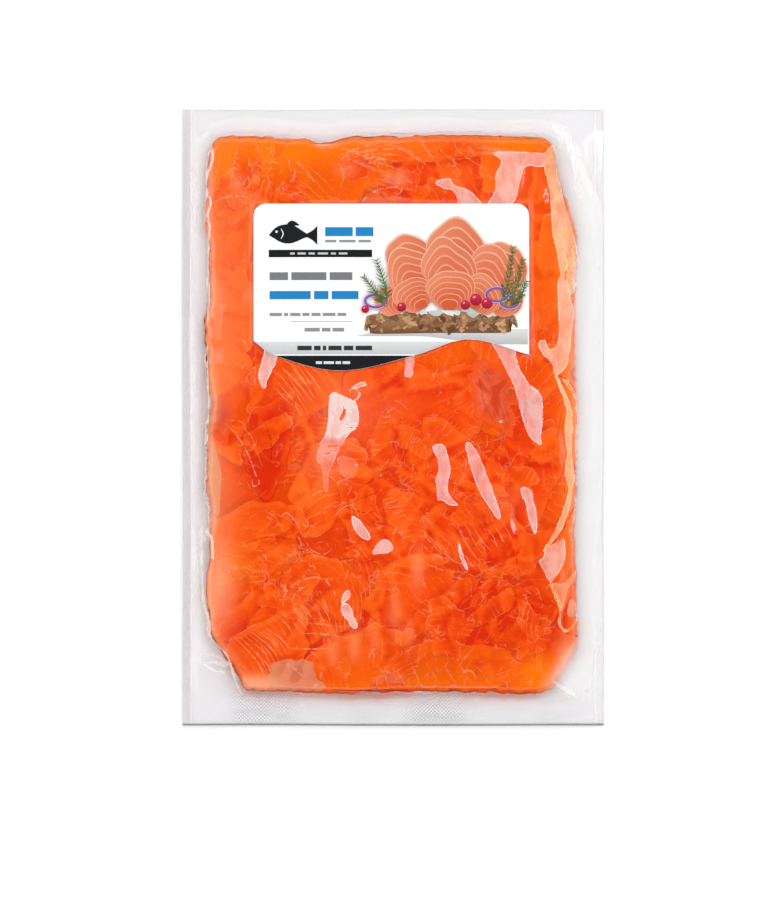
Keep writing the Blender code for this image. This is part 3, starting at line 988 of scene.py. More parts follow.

# Pockets where the film isn't wetted and stands off, made milky as a painted reflection of the lamps:
# strength and warmth, then the points of an outline (x and y in mm) or of a band (x, y and width)
POCKETS = (
    (1.8, 0, (-30.5, 10.7), (-27.8, 12), (-23.8, 10), (-20.3, 8.7), (-17.6, 5.9), (-16.7, 0),
     (-17.6, -5), (-20.3, -7), (-23.8, -10.3), (-27, -11.5), (-31, -10.8), (-33.2, -10.3),
     (-31.6, -2.8), (-31.2, 4)),
    (0.5, 0, (-23.4, -9), (-25.8, -15), (-27.8, -19), (-29.2, -22), (-33.4, -23), (-36.8, -21),
     (-36.2, -15), (-33, -9)),
    (0.24, 0, (-28.5, -20), (-31, -26), (-31.4, -32), (-32.2, -36), (-33.6, -34.6), (-33.8, -30),
     (-34.4, -25), (-35, -20)),
    (0.22, 0.3, (-27, -20), (-24, -18.6), (-18.5, -21), (-17.2, -25), (-20, -29.5), (-25, -28),
     (-26, -24)),
    (0.9, 0.1, (-21.5, 12.8, 0.8), (-18.3, 14.8, 1.6), (-14.5, 16.4, 1.8), (-13.2, 15.8, 0.9)),
    (0.7, 0.1, (-17.8, 13.4, 0.8), (-16.2, 11, 1), (-18.2, 8.4, 0.8)),
    (1.25, 0, (-61.6, 37), (-53.9, 37), (-56.9, 26.9), (-59, 22.8), (-61.2, 18), (-61.8, 14.8),
     (-63.2, 14), (-64.6, 16), (-65.4, 20), (-64.4, 25), (-62.7, 31)),
    (0.8, 0, (6.7, 38), (10.2, 38), (10, 25.6), (9.4, 20.2), (7.4, 19.7), (5.7, 20.4), (6, 26)),
    (0.92, 0, (46, 42), (59, 42), (59.4, 29.6), (62.8, 21.5), (66.9, 16), (70.9, 12), (72.6, 7.5),
     (72.5, -3), (71.8, -9), (72.2, -13.6), (69.5, -12.6), (66.6, -9.4), (64.4, -5), (62, 2.6),
     (60.6, 9.3), (58.6, 16), (55, 23), (51.6, 30)),
    (0.85, 0, (35.4, -14), (36.4, -12.3), (38.4, -13.7), (41.8, -19), (44.6, -26), (48, -34),
     (50.6, -42), (52.4, -48.4), (50.4, -49), (46.5, -43), (42.4, -36.8), (39.4, -29.6), (36.9, -21.7)),
    (0.9, 0, (18.9, -14.4), (22.2, -13), (24.8, -14), (26.8, -20), (28.3, -25.2), (26.8, -30),
     (26.4, -35.3), (28.4, -39.3), (31.8, -42.8), (27.5, -42.2), (24, -40.4), (21.6, -40),
     (21.4, -35), (20.6, -30), (22.2, -25.8), (21.4, -20)),
    (0.9, 0, (62.1, -34.6), (64.2, -33.8), (67.4, -36), (68.4, -41), (69.4, -46), (70, -53),
     (68.8, -56.7), (66.6, -51.4), (64.6, -43.4), (62.6, -38)),
    (0.9, 0, (31.6, -60), (33, -63.4), (34.7, -68.8), (36.4, -73.8), (35.2, -73.6), (33, -69),
     (31.8, -64)),
    (0.6, 0, (57.2, -49.5, 0.8), (58.4, -53, 1.6), (59, -56.2, 0.8)),
    (1.2, 0, (-20, -48), (-16.3, -49.9), (-12.9, -54.6), (-11, -58.9), (-13, -59.3), (-16.5, -57.2),
     (-19.4, -53)),
    (0.9, 0, (-9.6, -66.2), (-8.8, -62.7), (-6.6, -60), (-3.5, -59.2), (-0.7, -61.4), (-0.6, -64.4),
     (-4, -66), (-7, -66)),
    (1, 0, (-25.2, -90.4), (-24.4, -87), (-22.4, -83.8), (-20.9, -85.3), (-21.8, -88), (-23.8, -89.8)),
    (1, 0, (-25.2, -91.8), (-22.4, -90.4), (-20, -93.2), (-19.2, -96.8), (-17.3, -101), (-18, -102.8),
     (-20, -101.8), (-22, -98.6), (-24.6, -95.6)),
    (0.92, 0.1, (48.5, 128.6), (59.3, 129.2), (74.2, 128), (76.5, 125), (72.1, 122), (66.1, 122.5),
     (63.3, 120.5), (61.3, 113.7), (57.8, 104), (46, 102), (49.8, 111), (49.8, 117.8), (52.5, 124.5)),
    (0.9, 0.1, (20.7, 114.4), (27.5, 116.4), (29.5, 113), (37.7, 109.7), (43.5, 102), (33, 102),
     (29.5, 109.8), (24.1, 111.7)),
)
# Where the film touches the fish again inside a pocket
TOUCHES = (
    ((-24.6, 6, 0.5), (-23.6, 3.2, 1.7), (-24.8, 0, 2.2), (-25.8, -2, 0.6)),
    ((-25.5, -4.5, 0.3), (-22, -3.2, 0.7), (-18.5, -3, 0.3)),
    ((-25.8, -6.6, 0.3), (-22, -5, 0.7), (-18.3, -5, 0.3)),
    ((-25.9, -8.6, 0.3), (-22.5, -7, 0.7), (-19.5, -7, 0.3)),
    ((-35, -16, 0.3), (-31, -14, 0.8), (-26, -14, 0.3)),
    ((-35, -19, 0.3), (-31.5, -17.5, 0.9), (-27, -17.5, 0.3)),
    ((62, 26, 0.4), (64, 20, 0.8), (67, 15, 0.4)),
    ((87, 82, 0.3), (87.9, 76, 0.9), (87.2, 70, 0.9), (88.2, 63, 0.4)),
    ((83.2, 80, 0.3), (84.4, 74, 0.7), (83.8, 68, 0.8), (85.6, 61, 0.3)),
)
# The film bridges the slab's right shoulder in long folds, from top to bottom, milky with painted
# reflection like the pockets
SIDE_FOLDS = (
    (1.17, 0.8, (76, 131), (78.8, 131.8), (79.6, 120), (81.4, 113), (83.2, 103.5), (86, 96), (88, 88),
     (89.6, 80), (90.2, 72), (89.6, 65), (87, 60), (83.6, 64), (81.4, 71), (79.8, 79), (78, 86.4),
     (77, 94), (76.4, 109), (73, 124.5)),
    (1.01, 0.5, (81.6, 70), (80.2, 66), (80, 58.8), (80.7, 42.6), (80, 37.7), (78.4, 33.8),
     (75.6, 33.4), (74, 37), (71.2, 37), (71, 34), (73.9, 29.6), (77.5, 25.6), (78.4, 20.7),
     (83.4, 23.4), (85.2, 29), (86.2, 36), (87, 43), (88, 51), (86.2, 58), (86.2, 65), (84.2, 70)),
    (1.17, 0.8, (78.4, 24, 1), (79.2, 20.3, 1), (82.8, 11.8, 1.8), (85.5, 4.1, 2.2), (85.5, -2, 3.6),
     (85.3, -9.7, 3.4), (85.7, -17, 1.8), (85.5, -23.2, 3.6), (85.9, -28.8, 4.4), (86.2, -35.3, 2.2),
     (84, -45, 2.6), (79.5, -56, 2.6), (73.1, -64.9, 0.6)),
    (0.62, 1, (82, 19.5, 0.8), (85.2, 15.8, 1.5), (87.7, 11.8, 1.2), (89.5, 6, 0.9), (89.9, 0, 0.9),
     (89.2, -7.7, 0.9), (88.9, -14.2, 0.9), (89.6, -22.3, 0.7), (89.4, -34, 0.9), (88.4, -46, 0.9),
     (86.5, -56, 0.8)),
    (0.86, 0.3, (74.7, -63.5), (81.2, -59.6), (83.2, -58.8), (83.6, -67), (81.8, -72.6),
     (79.6, -76.7), (76.3, -80), (73.4, -74.2), (70.6, -69.4), (73, -68.2)),
    (0.62, 0.8, (77.4, -81.3), (79.3, -80.6), (82.7, -80.6), (87, -76.7), (89.2, -73.6), (88, -79),
     (84.8, -83), (83.1, -88.8), (82.2, -95), (81, -89)),
    (0.7, 1, (76.3, -80.6, 0.8), (79.6, -88.8, 1), (81.2, -95.2, 1.1), (80.8, -100, 1.2),
     (83.6, -103.8, 1.5), (87.5, -101.5, 1.3), (89, -97, 1), (89.2, -93, 0.8)),
    (0.55, 0.5, (86, -88.6), (88.4, -90), (89, -94.7), (86.8, -97.2), (84.8, -94.7)),
    (0.47, 1, (79.5, 112, 1), (82, 104, 1.2), (82.8, 97, 0.9)),
)
# Creases, raised a little, with painted highlights along them: strength, then x, y and width in mm along
# each
CREASES = (
    (1, (-92.6, -47.5, 0.7), (-93.5, -57, 1.2), (-93.3, -73, 0.9), (-92.6, -89, 1.3),
     (-89.7, -98.8, 1.6), (-88.2, -107.8, 1), (-80.4, -116, 1.2), (-77.5, -126.8, 1.2),
     (-74, -134.6, 1)),
    (1, (-91, -55.7, 1.6), (-88.2, -59, 1.5), (-87.7, -69, 1.2)),
    (1, (-88, 132, 0.9), (-87.8, 125.8, 1.4), (-90.2, 117.5, 1), (-90.4, 110.7, 0.7),
     (-88.7, 104.4, 1.3), (-90.2, 98.6, 1), (-89.2, 91.3, 1.2), (-90.4, 78, 0.7), (-89.5, 60, 1),
     (-90.4, 40, 0.6), (-89.9, 0, 0.8), (-91, -30, 0.6)),
    (0.9, (-93.5, -115.2, 0.6), (-86, -116.4, 1), (-80.5, -120.5, 0.8)),
    (0.9, (-93.5, -118.6, 0.6), (-88.5, -122.6, 1.2), (-81.5, -124.5, 0.8)),
    (0.5, (-91, -119.2, 0.6), (-86, -119.6, 2), (-81.5, -121.8, 0.8)),
    (0.8, (-94, -56, 0.6), (-91.5, -60, 0.9), (-90.5, -65, 0.6)),
    (0.8, (-92.6, -99.6, 0.6), (-90.2, -103, 0.8)),
    (0.9, (77.8, -128.3, 0.8), (84.5, -133, 2.2), (89.5, -136, 0.8)),
    (0.8, (77, 142, 0.6), (80, 139.5, 2.2), (84.6, 136, 1)),
    (0.5, (-40, 133, 0.4), (-31.6, 132.6, 0.8), (-24, 134.5, 0.4)),
    (0.9, (79.5, 141, 0.8), (83.5, 137.5, 1.5), (85.5, 131, 1), (87.5, 124, 1.2), (90, 113, 1),
     (92.8, 103.5, 0.8)),
    (0.7, (84, 141, 0.5), (87, 134, 0.8), (89.4, 126, 0.6), (91.5, 117, 0.7)),
    (0.4, (-60, -131.6, 0.5), (-20, -131.8, 0.7), (20, -131.4, 0.6), (60, -131.2, 0.5)),
    (0.5, (84, -46, 0.5), (86.5, -58, 0.7), (88.5, -68, 0.5)),
)
# Thin painted shade lines where the film's folds close on each other: strength, x, y and width along each
FOLD_SHADE_LINES = (
    (0.7, (80.9, 23.4, 0.5), (82, 17.6, 0.6), (86.1, 8.3, 0.6), (86.8, -1, 0.5), (87.4, -10.3, 0.6),
     (88.6, -18.3, 0.5), (88.4, -25.3, 0.6), (89, -36.8, 0.5), (86.8, -46.2, 0.6), (81.8, -55.6, 0.6),
     (74.6, -65.2, 0.5)),
    (0.5, (78.3, 17, 0.4), (81, 7, 0.5), (82.8, -4.5, 0.4), (83.8, -18.4, 0.5), (83, -26.5, 0.4),
     (83.6, -33.3, 0.5), (82.4, -42.6, 0.4)),
    (0.9, (77.9, 21, 0.5), (84.3, 18.7, 0.8), (88.6, 12.9, 0.7), (90.1, 4.8, 0.8), (90.6, -6.8, 0.6),
     (90.1, -16.1, 0.8), (89.9, -24.1, 0.6), (90.4, -38, 0.7), (89.6, -50, 0.6)),
    (0.6, (61.1, 17.4, 0.4), (67.4, 11.6, 0.6), (72.4, 7.6, 0.6), (73.2, 3, 0.4)),
    (0.6, (83, 118, 0.5), (82.4, 108, 0.6), (84.8, 98, 0.5), (87.2, 88, 0.6), (88, 78, 0.5)),
    (0.5, (77.6, 33.4, 0.5), (80, 38.5, 0.6), (79.6, 44, 0.4)),
    (0.6, (73.6, -68.8, 0.5), (76, -76, 0.7), (79, -87, 0.5), (80.2, -97, 0.4)),
    (0.8, (-45, -132.6, 0.6), (-10, -132.9, 0.8), (25, -132.4, 0.7), (62, -132.2, 0.6)),
    (0.5, (-1.6, 138.2, 0.5), (12, 138.6, 0.6), (25.5, 139.2, 0.5), (43, 139.4, 0.5)),
    (0.6, (28.6, -25, 0.4), (27.2, -30.5, 0.6), (27, -35, 0.4)),
    (0.5, (-24.4, 4.6, 0.3), (-23.8, 2.6, 1), (-25, -0.6, 0.4)),
    (0.6, (-24.5, -4, 0.3), (-21.6, -3.4, 0.5), (-18.8, -3.2, 0.3)),
    (0.6, (-24.8, -6.2, 0.3), (-21.6, -5.4, 0.5), (-18.8, -5.2, 0.3)),
)
# Painted shade on the margin: x, y, reach each way in mm, and how dark
MARGIN_SHADES = (
    (-92.8, 0, 2.4, 42, 0.8),
    (-94, 60, 6, 60, 0.08),
    (-88, -130, 16, 12, 0.08),
    (0, -140, 110, 6, 0.1),
    (-72, -133, 9, 3, 0.4),
)
# Painted glare on the film: x, y, reach each way in mm, and how bright
PAINTED_GLARES = (
    (-98.5, 35, 2.2, 30, 0.55),
    (-98, -30, 1.6, 40, 0.45),
    (-97, 105, 2, 22, 0.35),
    (-96.5, -75, 2, 14, 0.45),
    (94, 78, 9, 56, 0.95),
    (94, -20, 9, 75, 1),
    (94, -88, 9, 26, 0.5),
    (82, 137, 5, 6, 0.4),
    (62, 140, 14, 2, 0.35),
    (0, 139.5, 60, 1.6, 0.15),
    (86, -126, 8, 10, 0.75),
)
# The painted glare ends at a soft slanting edge at the upper right: a point on it and its slope
GLARE_END = (84.6, 137.5, -1.96)
# Painted gleams where the lower seal's mesh catches the light: x, its reach in mm, and how much
PAINTED_MESH_GLEAMS = (
    (-63, 15, 1),
    (22, 17, 0.9),
    (-10, 12, 0.25),
    (85, 14, 0.3),
)


def inside_of(points):
    """How far, in mm, each point of the field lies inside a shape.

    Points of x, y and width make a band; points of x and y alone make a closed outline.
    """
    closed = len(points[0]) == 2
    path = smooth_path([(*point, 0.0) for point in points] if closed else points, 5, closed)
    start, end = (path[:, :2].min(axis=0) - NEAR) * MM, (path[:, :2].max(axis=0) + NEAR) * MM
    columns = slice(*np.searchsorted(across, (start[0], end[0])))
    rows = slice(*np.searchsorted(along, (start[1], end[1])))
    px, py = GX[rows, columns] / MM, GY[rows, columns] / MM
    best, within = np.full(px.shape, FAR), np.zeros(px.shape, bool)
    for (x1, y1, w1), (x2, y2, w2) in zip(path, path[1:]):
        dx, dy = x2 - x1, y2 - y1
        t = np.clip(((px - x1) * dx + (py - y1) * dy) / max(dx * dx + dy * dy, 1e-9), 0, 1)
        away = np.hypot(px - x1 - t * dx, py - y1 - t * dy)
        best = np.maximum(best, (w1 + (w2 - w1) * t) / 2 - away)
        if closed and dy:
            within ^= ((y1 > py) != (y2 > py)) & (px < x1 + (py - y1) / dy * dx)
    inside = np.full(GX.shape, FAR)
    inside[rows, columns] = np.where(within, -best, best) if closed else best
    return inside


label_low, label_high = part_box("label")
stock = points_of(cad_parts["label"].data)
hem_x = np.unique(np.round(stock[:, 0], 6))
hem_y = np.array([stock[np.abs(stock[:, 0] - x) < 1e-5, 1].min() for x in hem_x])
flange = (pouch_top + pouch_under) / 2
from_rim = np.minimum(np.minimum(GX - low[0], high[0] - GX), np.minimum(GY - low[1], high[1] - GY)) / MM
loose = ease((from_rim - SEAL_WIDTH) / 4)
sway = 0.35 * np.sin(GY / (31 * MM) + GX / (7 * MM)) + 0.5 * uneven(11)
margin = flange + loose * 0.55 * MM * (sway + 0.5)

# Drawn tight: the film touches what stands highest and spans the rest
carried = margin + (flesh + FILM_GAP - margin) * filled
tight = carried
for _ in range(PULLS):
    tight = np.maximum(carried, blur(tight, SPAN))
film_level = np.maximum(blur(tight, 0.9 * MM), carried)

# The dry parts: how far inside one each point lies, and the strength of its painted reflection and its
# warmth
nibbled = uneven(1.3)
dry = np.full(GX.shape, FAR)
veil = np.zeros(GX.shape)
warm = np.zeros(GX.shape)
for strength, warmth, *points in (*POCKETS, *SIDE_FOLDS):
    depth_in = inside_of(points) + 0.20 * nibbled
    veil = np.where(depth_in > dry, strength, veil)
    warm = np.where(depth_in > np.maximum(dry, -0.8), warmth, warm)
    dry = np.maximum(dry, depth_in)
for points in TOUCHES:
    dry = np.minimum(dry, -inside_of(points) + 0.15 * nibbled)
veil = blur(veil, 0.9 * MM)


def strongest(shapes, nearest, amount, torn):
    """Adds shapes to a field of distances, and each one's strength where it lies nearest."""
    for strength, *points in shapes:
        inside = inside_of(points) + torn * nibbled
        amount = np.where(inside > nearest, strength, amount)
        nearest = np.maximum(nearest, inside)
    return nearest, amount


seam, seam_dark = strongest(FOLD_SHADE_LINES, np.full(GX.shape, FAR), np.zeros(GX.shape), 0.12)
# A painted highlight also runs just outside the slab's outline, strongest at the left and the ends
patchy = uneven(4)
at_ends = 0.5 * ease((Y_MM - 120) / 12) + 0.5 * ease((-Y_MM - 115) / 12)
left_share = ease((-X_MM - 60) / 25) + at_ends
crease = 0.45 - np.abs(depth + 0.6 + 1.0 * uneven(2.4))
shine = np.clip(left_share * (0.55 + 0.9 * patchy), 0, 1)
crease, shine = strongest(CREASES, crease, shine, 0.15)

# Painted glare over the margins, calmer on the right and cut off by the slab
calm = ease((X_MM - 40) / 40)
bloom = spots(PAINTED_GLARES) * (0.92 + 0.5 * (1 - calm) * uneven(3.5) + 0.15 * calm * uneven(9))
at_corner = ease((X_MM - 66) / 12) * ease((-Y_MM - 106) / 10)
bloom = np.clip(bloom, 0, 1) * (1 - ease((depth - 0.4) / (2.0 + 7.0 * at_corner)))
end_x, end_y, end_slope = GLARE_END
past_end = Y_MM - end_y - end_slope * (X_MM - end_x)
bloom = np.where(GX > 0, bloom * (1 - ease(0.5 + past_end / 5)), bloom)

# Juice at the slab's lower edge with a painted orange glow, painted gleams on the mesh of the lower seal,
# and painted shade on the margin
# Painted light: the orange glow of light through the fish on the film at the slab's lower edge, with the
# juice there
juice = ease((-Y_MM - 118) / 8) * (1 - 0.8 * ease((X_MM - 66) / 10))
juice = juice * np.exp(-(((depth + 1.4) / 1.8) ** 2)) * (0.75 + 0.4 * uneven(9))
gleam = np.zeros(GX.shape)
for x, reach, amount in PAINTED_MESH_GLEAMS:
    gleam = gleam + amount * np.exp(-(((X_MM - x) / reach) ** 4))
gleam = gleam * (0.85 + 0.4 * uneven(5))
smoke = spots(MARGIN_SHADES) * (1 - filled) * (0.8 + 0.5 * uneven(6))
film_level = film_level + POCKET_RISE * ease((dry + 0.4) / 1.6) * (1 + 0.5 * warm)
film_level = film_level + CREASE_RISE * ease((crease + 0.9) / 1.2) * shine

# Small puckers run outwards where the film leaves the slab
run = np.interp(np.arctan2(GY, GX), turns, round_slab) / MM
puckers = np.zeros(GX.shape)
for wave_length, size in PUCKERS:
    phase = run / wave_length * TURN + 1.4 * uneven(9) + rng.uniform(0, TURN)
    puckers = puckers + size * (1 - 2 * np.abs(np.sin(phase)))
beside = np.exp(-(((depth + 1.0) / 3.2) ** 2))
film_level = film_level + PUCKER_RISE * puckers * beside * (1 - 0.8 * calm)

# The label holds the film flat, so both are one even bed, and the film falls away from its edge
off_side = np.maximum(np.maximum(label_low[0] - GX, GX - label_high[0]), 0)
off_end = np.maximum(np.maximum(np.interp(GX, hem_x, hem_y) - GY, GY - label_high[1]), 0)
off_label = np.hypot(off_side, off_end)
label_bed = film_level
for _ in range(BED_PULLS):
    label_bed = np.maximum(film_level, blur(label_bed, BED_SPAN))
label_bed = blur(label_bed, 9 * MM)
label_bed = label_bed + np.max((film_level - label_bed)[off_label == 0]) + 0.05 * MM
film_level = np.maximum(film_level, label_bed - 0.06 * MM - BED_FALL * off_label)


def add_film(name, level_field, columns, rows, fields):
    """A sheet over the whole bag, with its distance from the rim on each side."""
    film = grid(name, columns, rows)
    u, v, _ = points_of(film.data).T
    bow = FILM_WAVE * (1 - u**2) * np.sin(3.1 * u + 1) * v
    sway = FILM_WAVE * (1 - v**2) * np.sin(4.3 * v) * u
    x = (low[0] + high[0]) / 2 + u * ((high[0] - low[0]) / 2 - FILM_INSET) + sway
    y = (low[1] + high[1]) / 2 + v * ((high[1] - low[1]) / 2 - FILM_INSET) + bow
    set_points(film.data, x, y, read(level_field, x, y))
    store(film.data, **{key: read(field, x, y) for key, field in fields.items()})
    width, length = (high[0] - low[0]) / MM, (high[1] - low[1]) / MM
    store(film.data, from_left=(u + 1) / 2 * width, from_right=(1 - u) / 2 * width)
    store(film.data, from_bottom=(v + 1) / 2 * length, from_top=(1 - v) / 2 * length)
    film.data.shade_smooth()
    return film


def film_material():
    """Clear film: it lets light through, shines, is milky where dry, and hazy where it is sealed.

    Painted highlights, painted glare and painted shade also lie in its colour.
    """
    look = Look("clear film")
    white = (1.0, 1.0, 1.0)

    # The seals: a plain band at the left, the mesh pressed into the lower one, and the cut edges, the lower
    # of which carries a painted shadow line
    from_bottom = look.stored("from_bottom")
    sides = look.least(look.stored("from_left"), look.stored("from_right"))
    rim = look.least(sides, look.least(from_bottom, look.stored("from_top")))
    side_seal = look.between(look.stored("from_left"), SEAL_WIDTH + 0.1, SEAL_WIDTH - 0.2, 0.20)
    slant = look.add("Mapping", {"Vector": look.place(), "Rotation": (0, 0, math.radians(45))})
    dots = {"Vector": slant, "Scale": MESH_DOTS, "Randomness": 0.0}
    dots = look.add("TexVoronoi", dots, "Distance")
    low_seal = look.times(
        look.between(from_bottom, BOTTOM_SEAL[0] - 2.4, BOTTOM_SEAL[0] - 1.6),
        look.between(from_bottom, BOTTOM_SEAL[1], BOTTOM_SEAL[1] - 2.5),
    )
    # The seal's mesh is brighter where its painted gleams lie
    ridges = look.times(look.between(dots, 0.30, 0.62), look.stored("gleam"))
    stamped = look.times(low_seal, look.scaled(ridges, 0.42, 0.03))
    low_cut_shadow = look.between(from_bottom, 1.2, 0.8, 0.6)
    seal = look.most(side_seal, stamped, look.between(rim, 0.7, 0.3, 0.45), low_cut_shadow)

    # Milky where it is dry, a painted reflection: cloudy inside, with a broken brighter edge
    dry_in = look.plus(look.stored("dry"), look.scaled(look.speckle(DRY_RAGGED, 3.0, 0.6), 1.0, -0.5))
    mist = look.speckle(DRY_MIST, 4.0, 0.6, stretch=(1.0, 0.6, 1.0), turn=0.35, warp=0.3)
    clouds = look.plus(look.between(mist, 0.38, 0.64, 0.26), 0.39)
    body = look.times(look.between(dry_in, -0.05, 0.20), clouds)
    patchy = look.between(look.speckle(DRY_PATCHES, 2.0), 0.34, 0.50)
    edge = look.times(look.between(look.off(dry_in, 0.15), 0.40, 0.10), look.times(patchy, 0.95))
    painted_pocket_sheen = look.least(look.times(look.most(body, edge), look.stored("veil")), 0.92)
    # Painted highlights: white along the creases, the painted glare, and a line at the side seals' inner
    # edge
    painted_highlight = look.times(look.between(look.stored("crease"), -0.15, 0.15, 0.85), look.stored("shine"))
    painted_highlight = look.most(painted_highlight, look.times(look.stored("bloom"), 0.90))
    painted_highlight = look.most(painted_highlight, look.between(look.off(sides, SEAL_WIDTH + 0.2), 0.5, 0.2, 0.30))

    # Clear elsewhere. The share of light thrown back is the same from above and from below, as a
    # thin sheet's is
    # The clear tint is greyed by painted shade on the margin, whitened by the painted glare, and warmed by
    # juice with a painted glow
    through = look.least(look.stored("smoke"), 1.0)
    through = look.tinted(through, (0.972, 0.970, 0.975), (0.80, 0.72, 0.74))
    through = look.tinted(look.stored("bloom"), through, white)
    through = look.tinted(look.stored("juice"), through, (0.90, 0.56, 0.47))
    # Painted shade: darker, browner lines along the fold seams
    dark = look.times(look.between(look.stored("seam"), -0.15, 0.15), look.stored("seam_dark"))
    clear = look.add("BsdfTransparent", {0: look.tinted(dark, through, (0.66, 0.26, 0.16))})
    ripple = look.times(look.speckle(RIPPLES, 2.0), 0.10)
    relief = look.maths("MULTIPLY_ADD", dots, low_seal, ripple)
    bump = look.add("Bump", {**FILM_BUMP, "Height": relief})
    gloss = look.add("BsdfGlossy", {"Roughness": FILM_ROUGHNESS, "Color": white, "Normal": bump})
    grazing = look.maths("POWER", look.add("LayerWeight", {"Blend": 0.5}, "Facing"), 5.0)
    film = look.add("MixShader", {0: look.scaled(grazing, 0.6, FILM_SHINE), 1: clear, 2: gloss})

    # The milky parts send some light back and let some through, scattered
    pale = look.tinted(look.stored("warm"), (1.0, 0.93, 0.88), (1.0, 0.76, 0.34))
    pale = look.tinted(look.between(look.stored("bloom"), 0.02, 0.15), pale, white)
    hidden = look.most(seal, painted_pocket_sheen, painted_highlight)
    haze = look.maths("DIVIDE", seal, look.plus(hidden, 0.001))
    # Painted shadow: a dark line along the lower cut edge
    cut_edge_shadow = look.between(from_bottom, 1.3, 0.7)
    pale = look.tinted(haze, pale, look.tinted(cut_edge_shadow, (0.66, 0.65, 0.67), (0.26, 0.26, 0.27)))
    sent_back = look.add("BsdfDiffuse", {"Color": pale, "Normal": bump})
    let_through = look.add("BsdfTranslucent", {"Color": pale})
    milk = look.add("MixShader", {0: MILK_CLEAR, 1: sent_back, 2: let_through})
    return look.shown(look.add("MixShader", {0: hidden, 1: film, 2: milk}))


clear_film = film_material()
fields = {
    "dry": np.clip(dry, -3, 3),
    "veil": veil,
    "warm": warm,
    "crease": np.clip(crease, -3, 3),
    "shine": shine,
    "bloom": bloom,
    "smoke": smoke,
    "seam": np.clip(seam, -3, 3),
    "seam_dark": seam_dark,
    "juice": np.clip(juice, 0, 1),
    "gleam": np.clip(gleam, 0, 1),
}
upper_film = add_film("upper_film", film_level, *FILM_GRID, fields)
upper_film.data.materials.append(clear_film)
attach(upper_film, "root")
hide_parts("pouch")


# ---- The bag's lower film ---------------------------------------------------------------------
# The same film under the slab, flat where the pack rests, and sealed to the upper one at the
# margins. It has no pockets, creases or mesh of its own, and faces the table.

lower_level = np.where(filled > 0.02, pouch_under, np.minimum(flange, margin) - FILM_GAP)
lower_level = np.minimum(blur(lower_level, 0.8 * MM), film_level - FILM_GAP)
plain = {key: np.full(GX.shape, -3.0 if key in ("dry", "crease", "seam") else 0.0) for key in fields}
# The lower film carries some of the painted glare too
plain["bloom"] = 0.6 * fields["bloom"]
lower_film = add_film("lower_film", np.maximum(lower_level, 0.02 * MM), *LOWER_FILM_GRID, plain)
edit((bpy.ops.mesh.flip_normals, {}))
lower_film.data.materials.append(clear_film)
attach(lower_film, "root")
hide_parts("pouch")


# ---- The label --------------------------------------------------------------------------------
# A die-cut sticker of white coated paper, with round upper corners and a wavy lower edge, stuck
# to the film.

LABEL_GRID = (150, 90)
LABEL_CORNER = 6.0 * MM
LABEL_THICK = 0.12 * MM


def label_top(x):
    in_corner = np.maximum(LABEL_CORNER - (x - label_low[0]), LABEL_CORNER - (label_high[0] - x))
    in_corner = np.clip(in_corner, 0, LABEL_CORNER)
    return label_high[1] - LABEL_CORNER + np.sqrt(LABEL_CORNER**2 - in_corner**2)


def add_label():
    """A thick grid from the wavy hem to the top; its columns stand closer at the round corners."""
    label = grid("label_paper", *LABEL_GRID, thick=True)
    u, v, layer = points_of(label.data).T
    middle, half_width = (label_low[0] + label_high[0]) / 2, (label_high[0] - label_low[0]) / 2
    x = middle + half_width * (0.6 * u + 0.4 * np.sin(math.pi / 2 * u))
    up = (v + 1) / 2
    hem = np.interp(x, hem_x, hem_y)
    y = hem + up * (label_top(x) - hem)
    set_points(label.data, x, y, read(label_bed, x, y) + np.where(layer > 0, LABEL_THICK, 0))
    label.data.shade_smooth()
    return label


label = add_label()
label.data.materials.append(Look("label paper").plain((0.93, 0.93, 0.93), 0.5))
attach(label, "root")
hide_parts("label")


# ---- The print on the label -------------------------------------------------------------------
# Flat print, laid down shape by shape: a plain fish and a black bar, blocks in place of words, a
# grey band and a black field along the hem, and a picture of salmon on bread with garnish.

# How far the ink stands off the paper, how much higher each layer lies, and its share of white
INK_LIFT = 0.03 * MM
INK_STEP = 0.005 * MM
INK_SHARE = 0.86
BAND_TOP = 36.8
BAND_BOTTOM = 30.6
PLATE_EDGE = 3.0
# The grids that shapes are printed with
RIBBON = (24, 2)
SPOT = (10, 10)
WIDE_BAND = (70, 10)
FIELD = (130, 6)
# How many crumbs, spots of cream, bands on a fold, and leaves each side of a sprig
CRUMBS = 90
CREAM_SPOTS = 24
BANDS = 6
LEAVES = 13

# Folds of salmon, from the back to the front: x and y of the foot, reach, width, and turn in degrees
FOLDS = (
    (47, 60, 27, 22, 62),
    (13, 61, 30, 22, 108),
    (29, 63, 34, 28, 86),
    (47, 54, 17, 17, 24),
    (6, 54, 15, 16, 158),
    (41, 57, 28, 24, 66),
    (14, 56, 28, 23, 112),
    (28, 56, 31, 26, 94),
    (38, 53, 18, 20, 52),
    (15, 53, 17, 19, 130),
    (27, 52, 20, 23, 84),
)
# Onion rings and berries: x, y and radius in mm
ONION_RINGS = ((-8.5, 56.5, 5.2), (56.5, 56.0, 4.6), (50.5, 59.5, 5.4))
BERRIES = ((40.2, 57.2, 2.9), (45.6, 55.4, 2.6), (35.0, 54.6, 2.3), (-13.5, 52.5, 1.9), (4.2, 53.6, 2.2))
# Sprigs of dill: x and y of the foot and of the tip
SPRIGS = (
    (54, 54, 63, 76),
    (56, 53, 64.5, 66),
    (52, 55, 58, 82),
    (-4, 54, -14, 68),
    (-3, 55, -8, 76),
)

print_blanks = {size: grid("print", *size) for size in (RIBBON, SPOT, WIDE_BAND, FIELD)}
printed = []
layers = []


def paint(red, green, blue):
    """A printed colour, from its usual 0 to 255 values."""
    return tuple(INK_SHARE * ((value / 255 + 0.055) / 1.055) ** 2.4 for value in (red, green, blue))


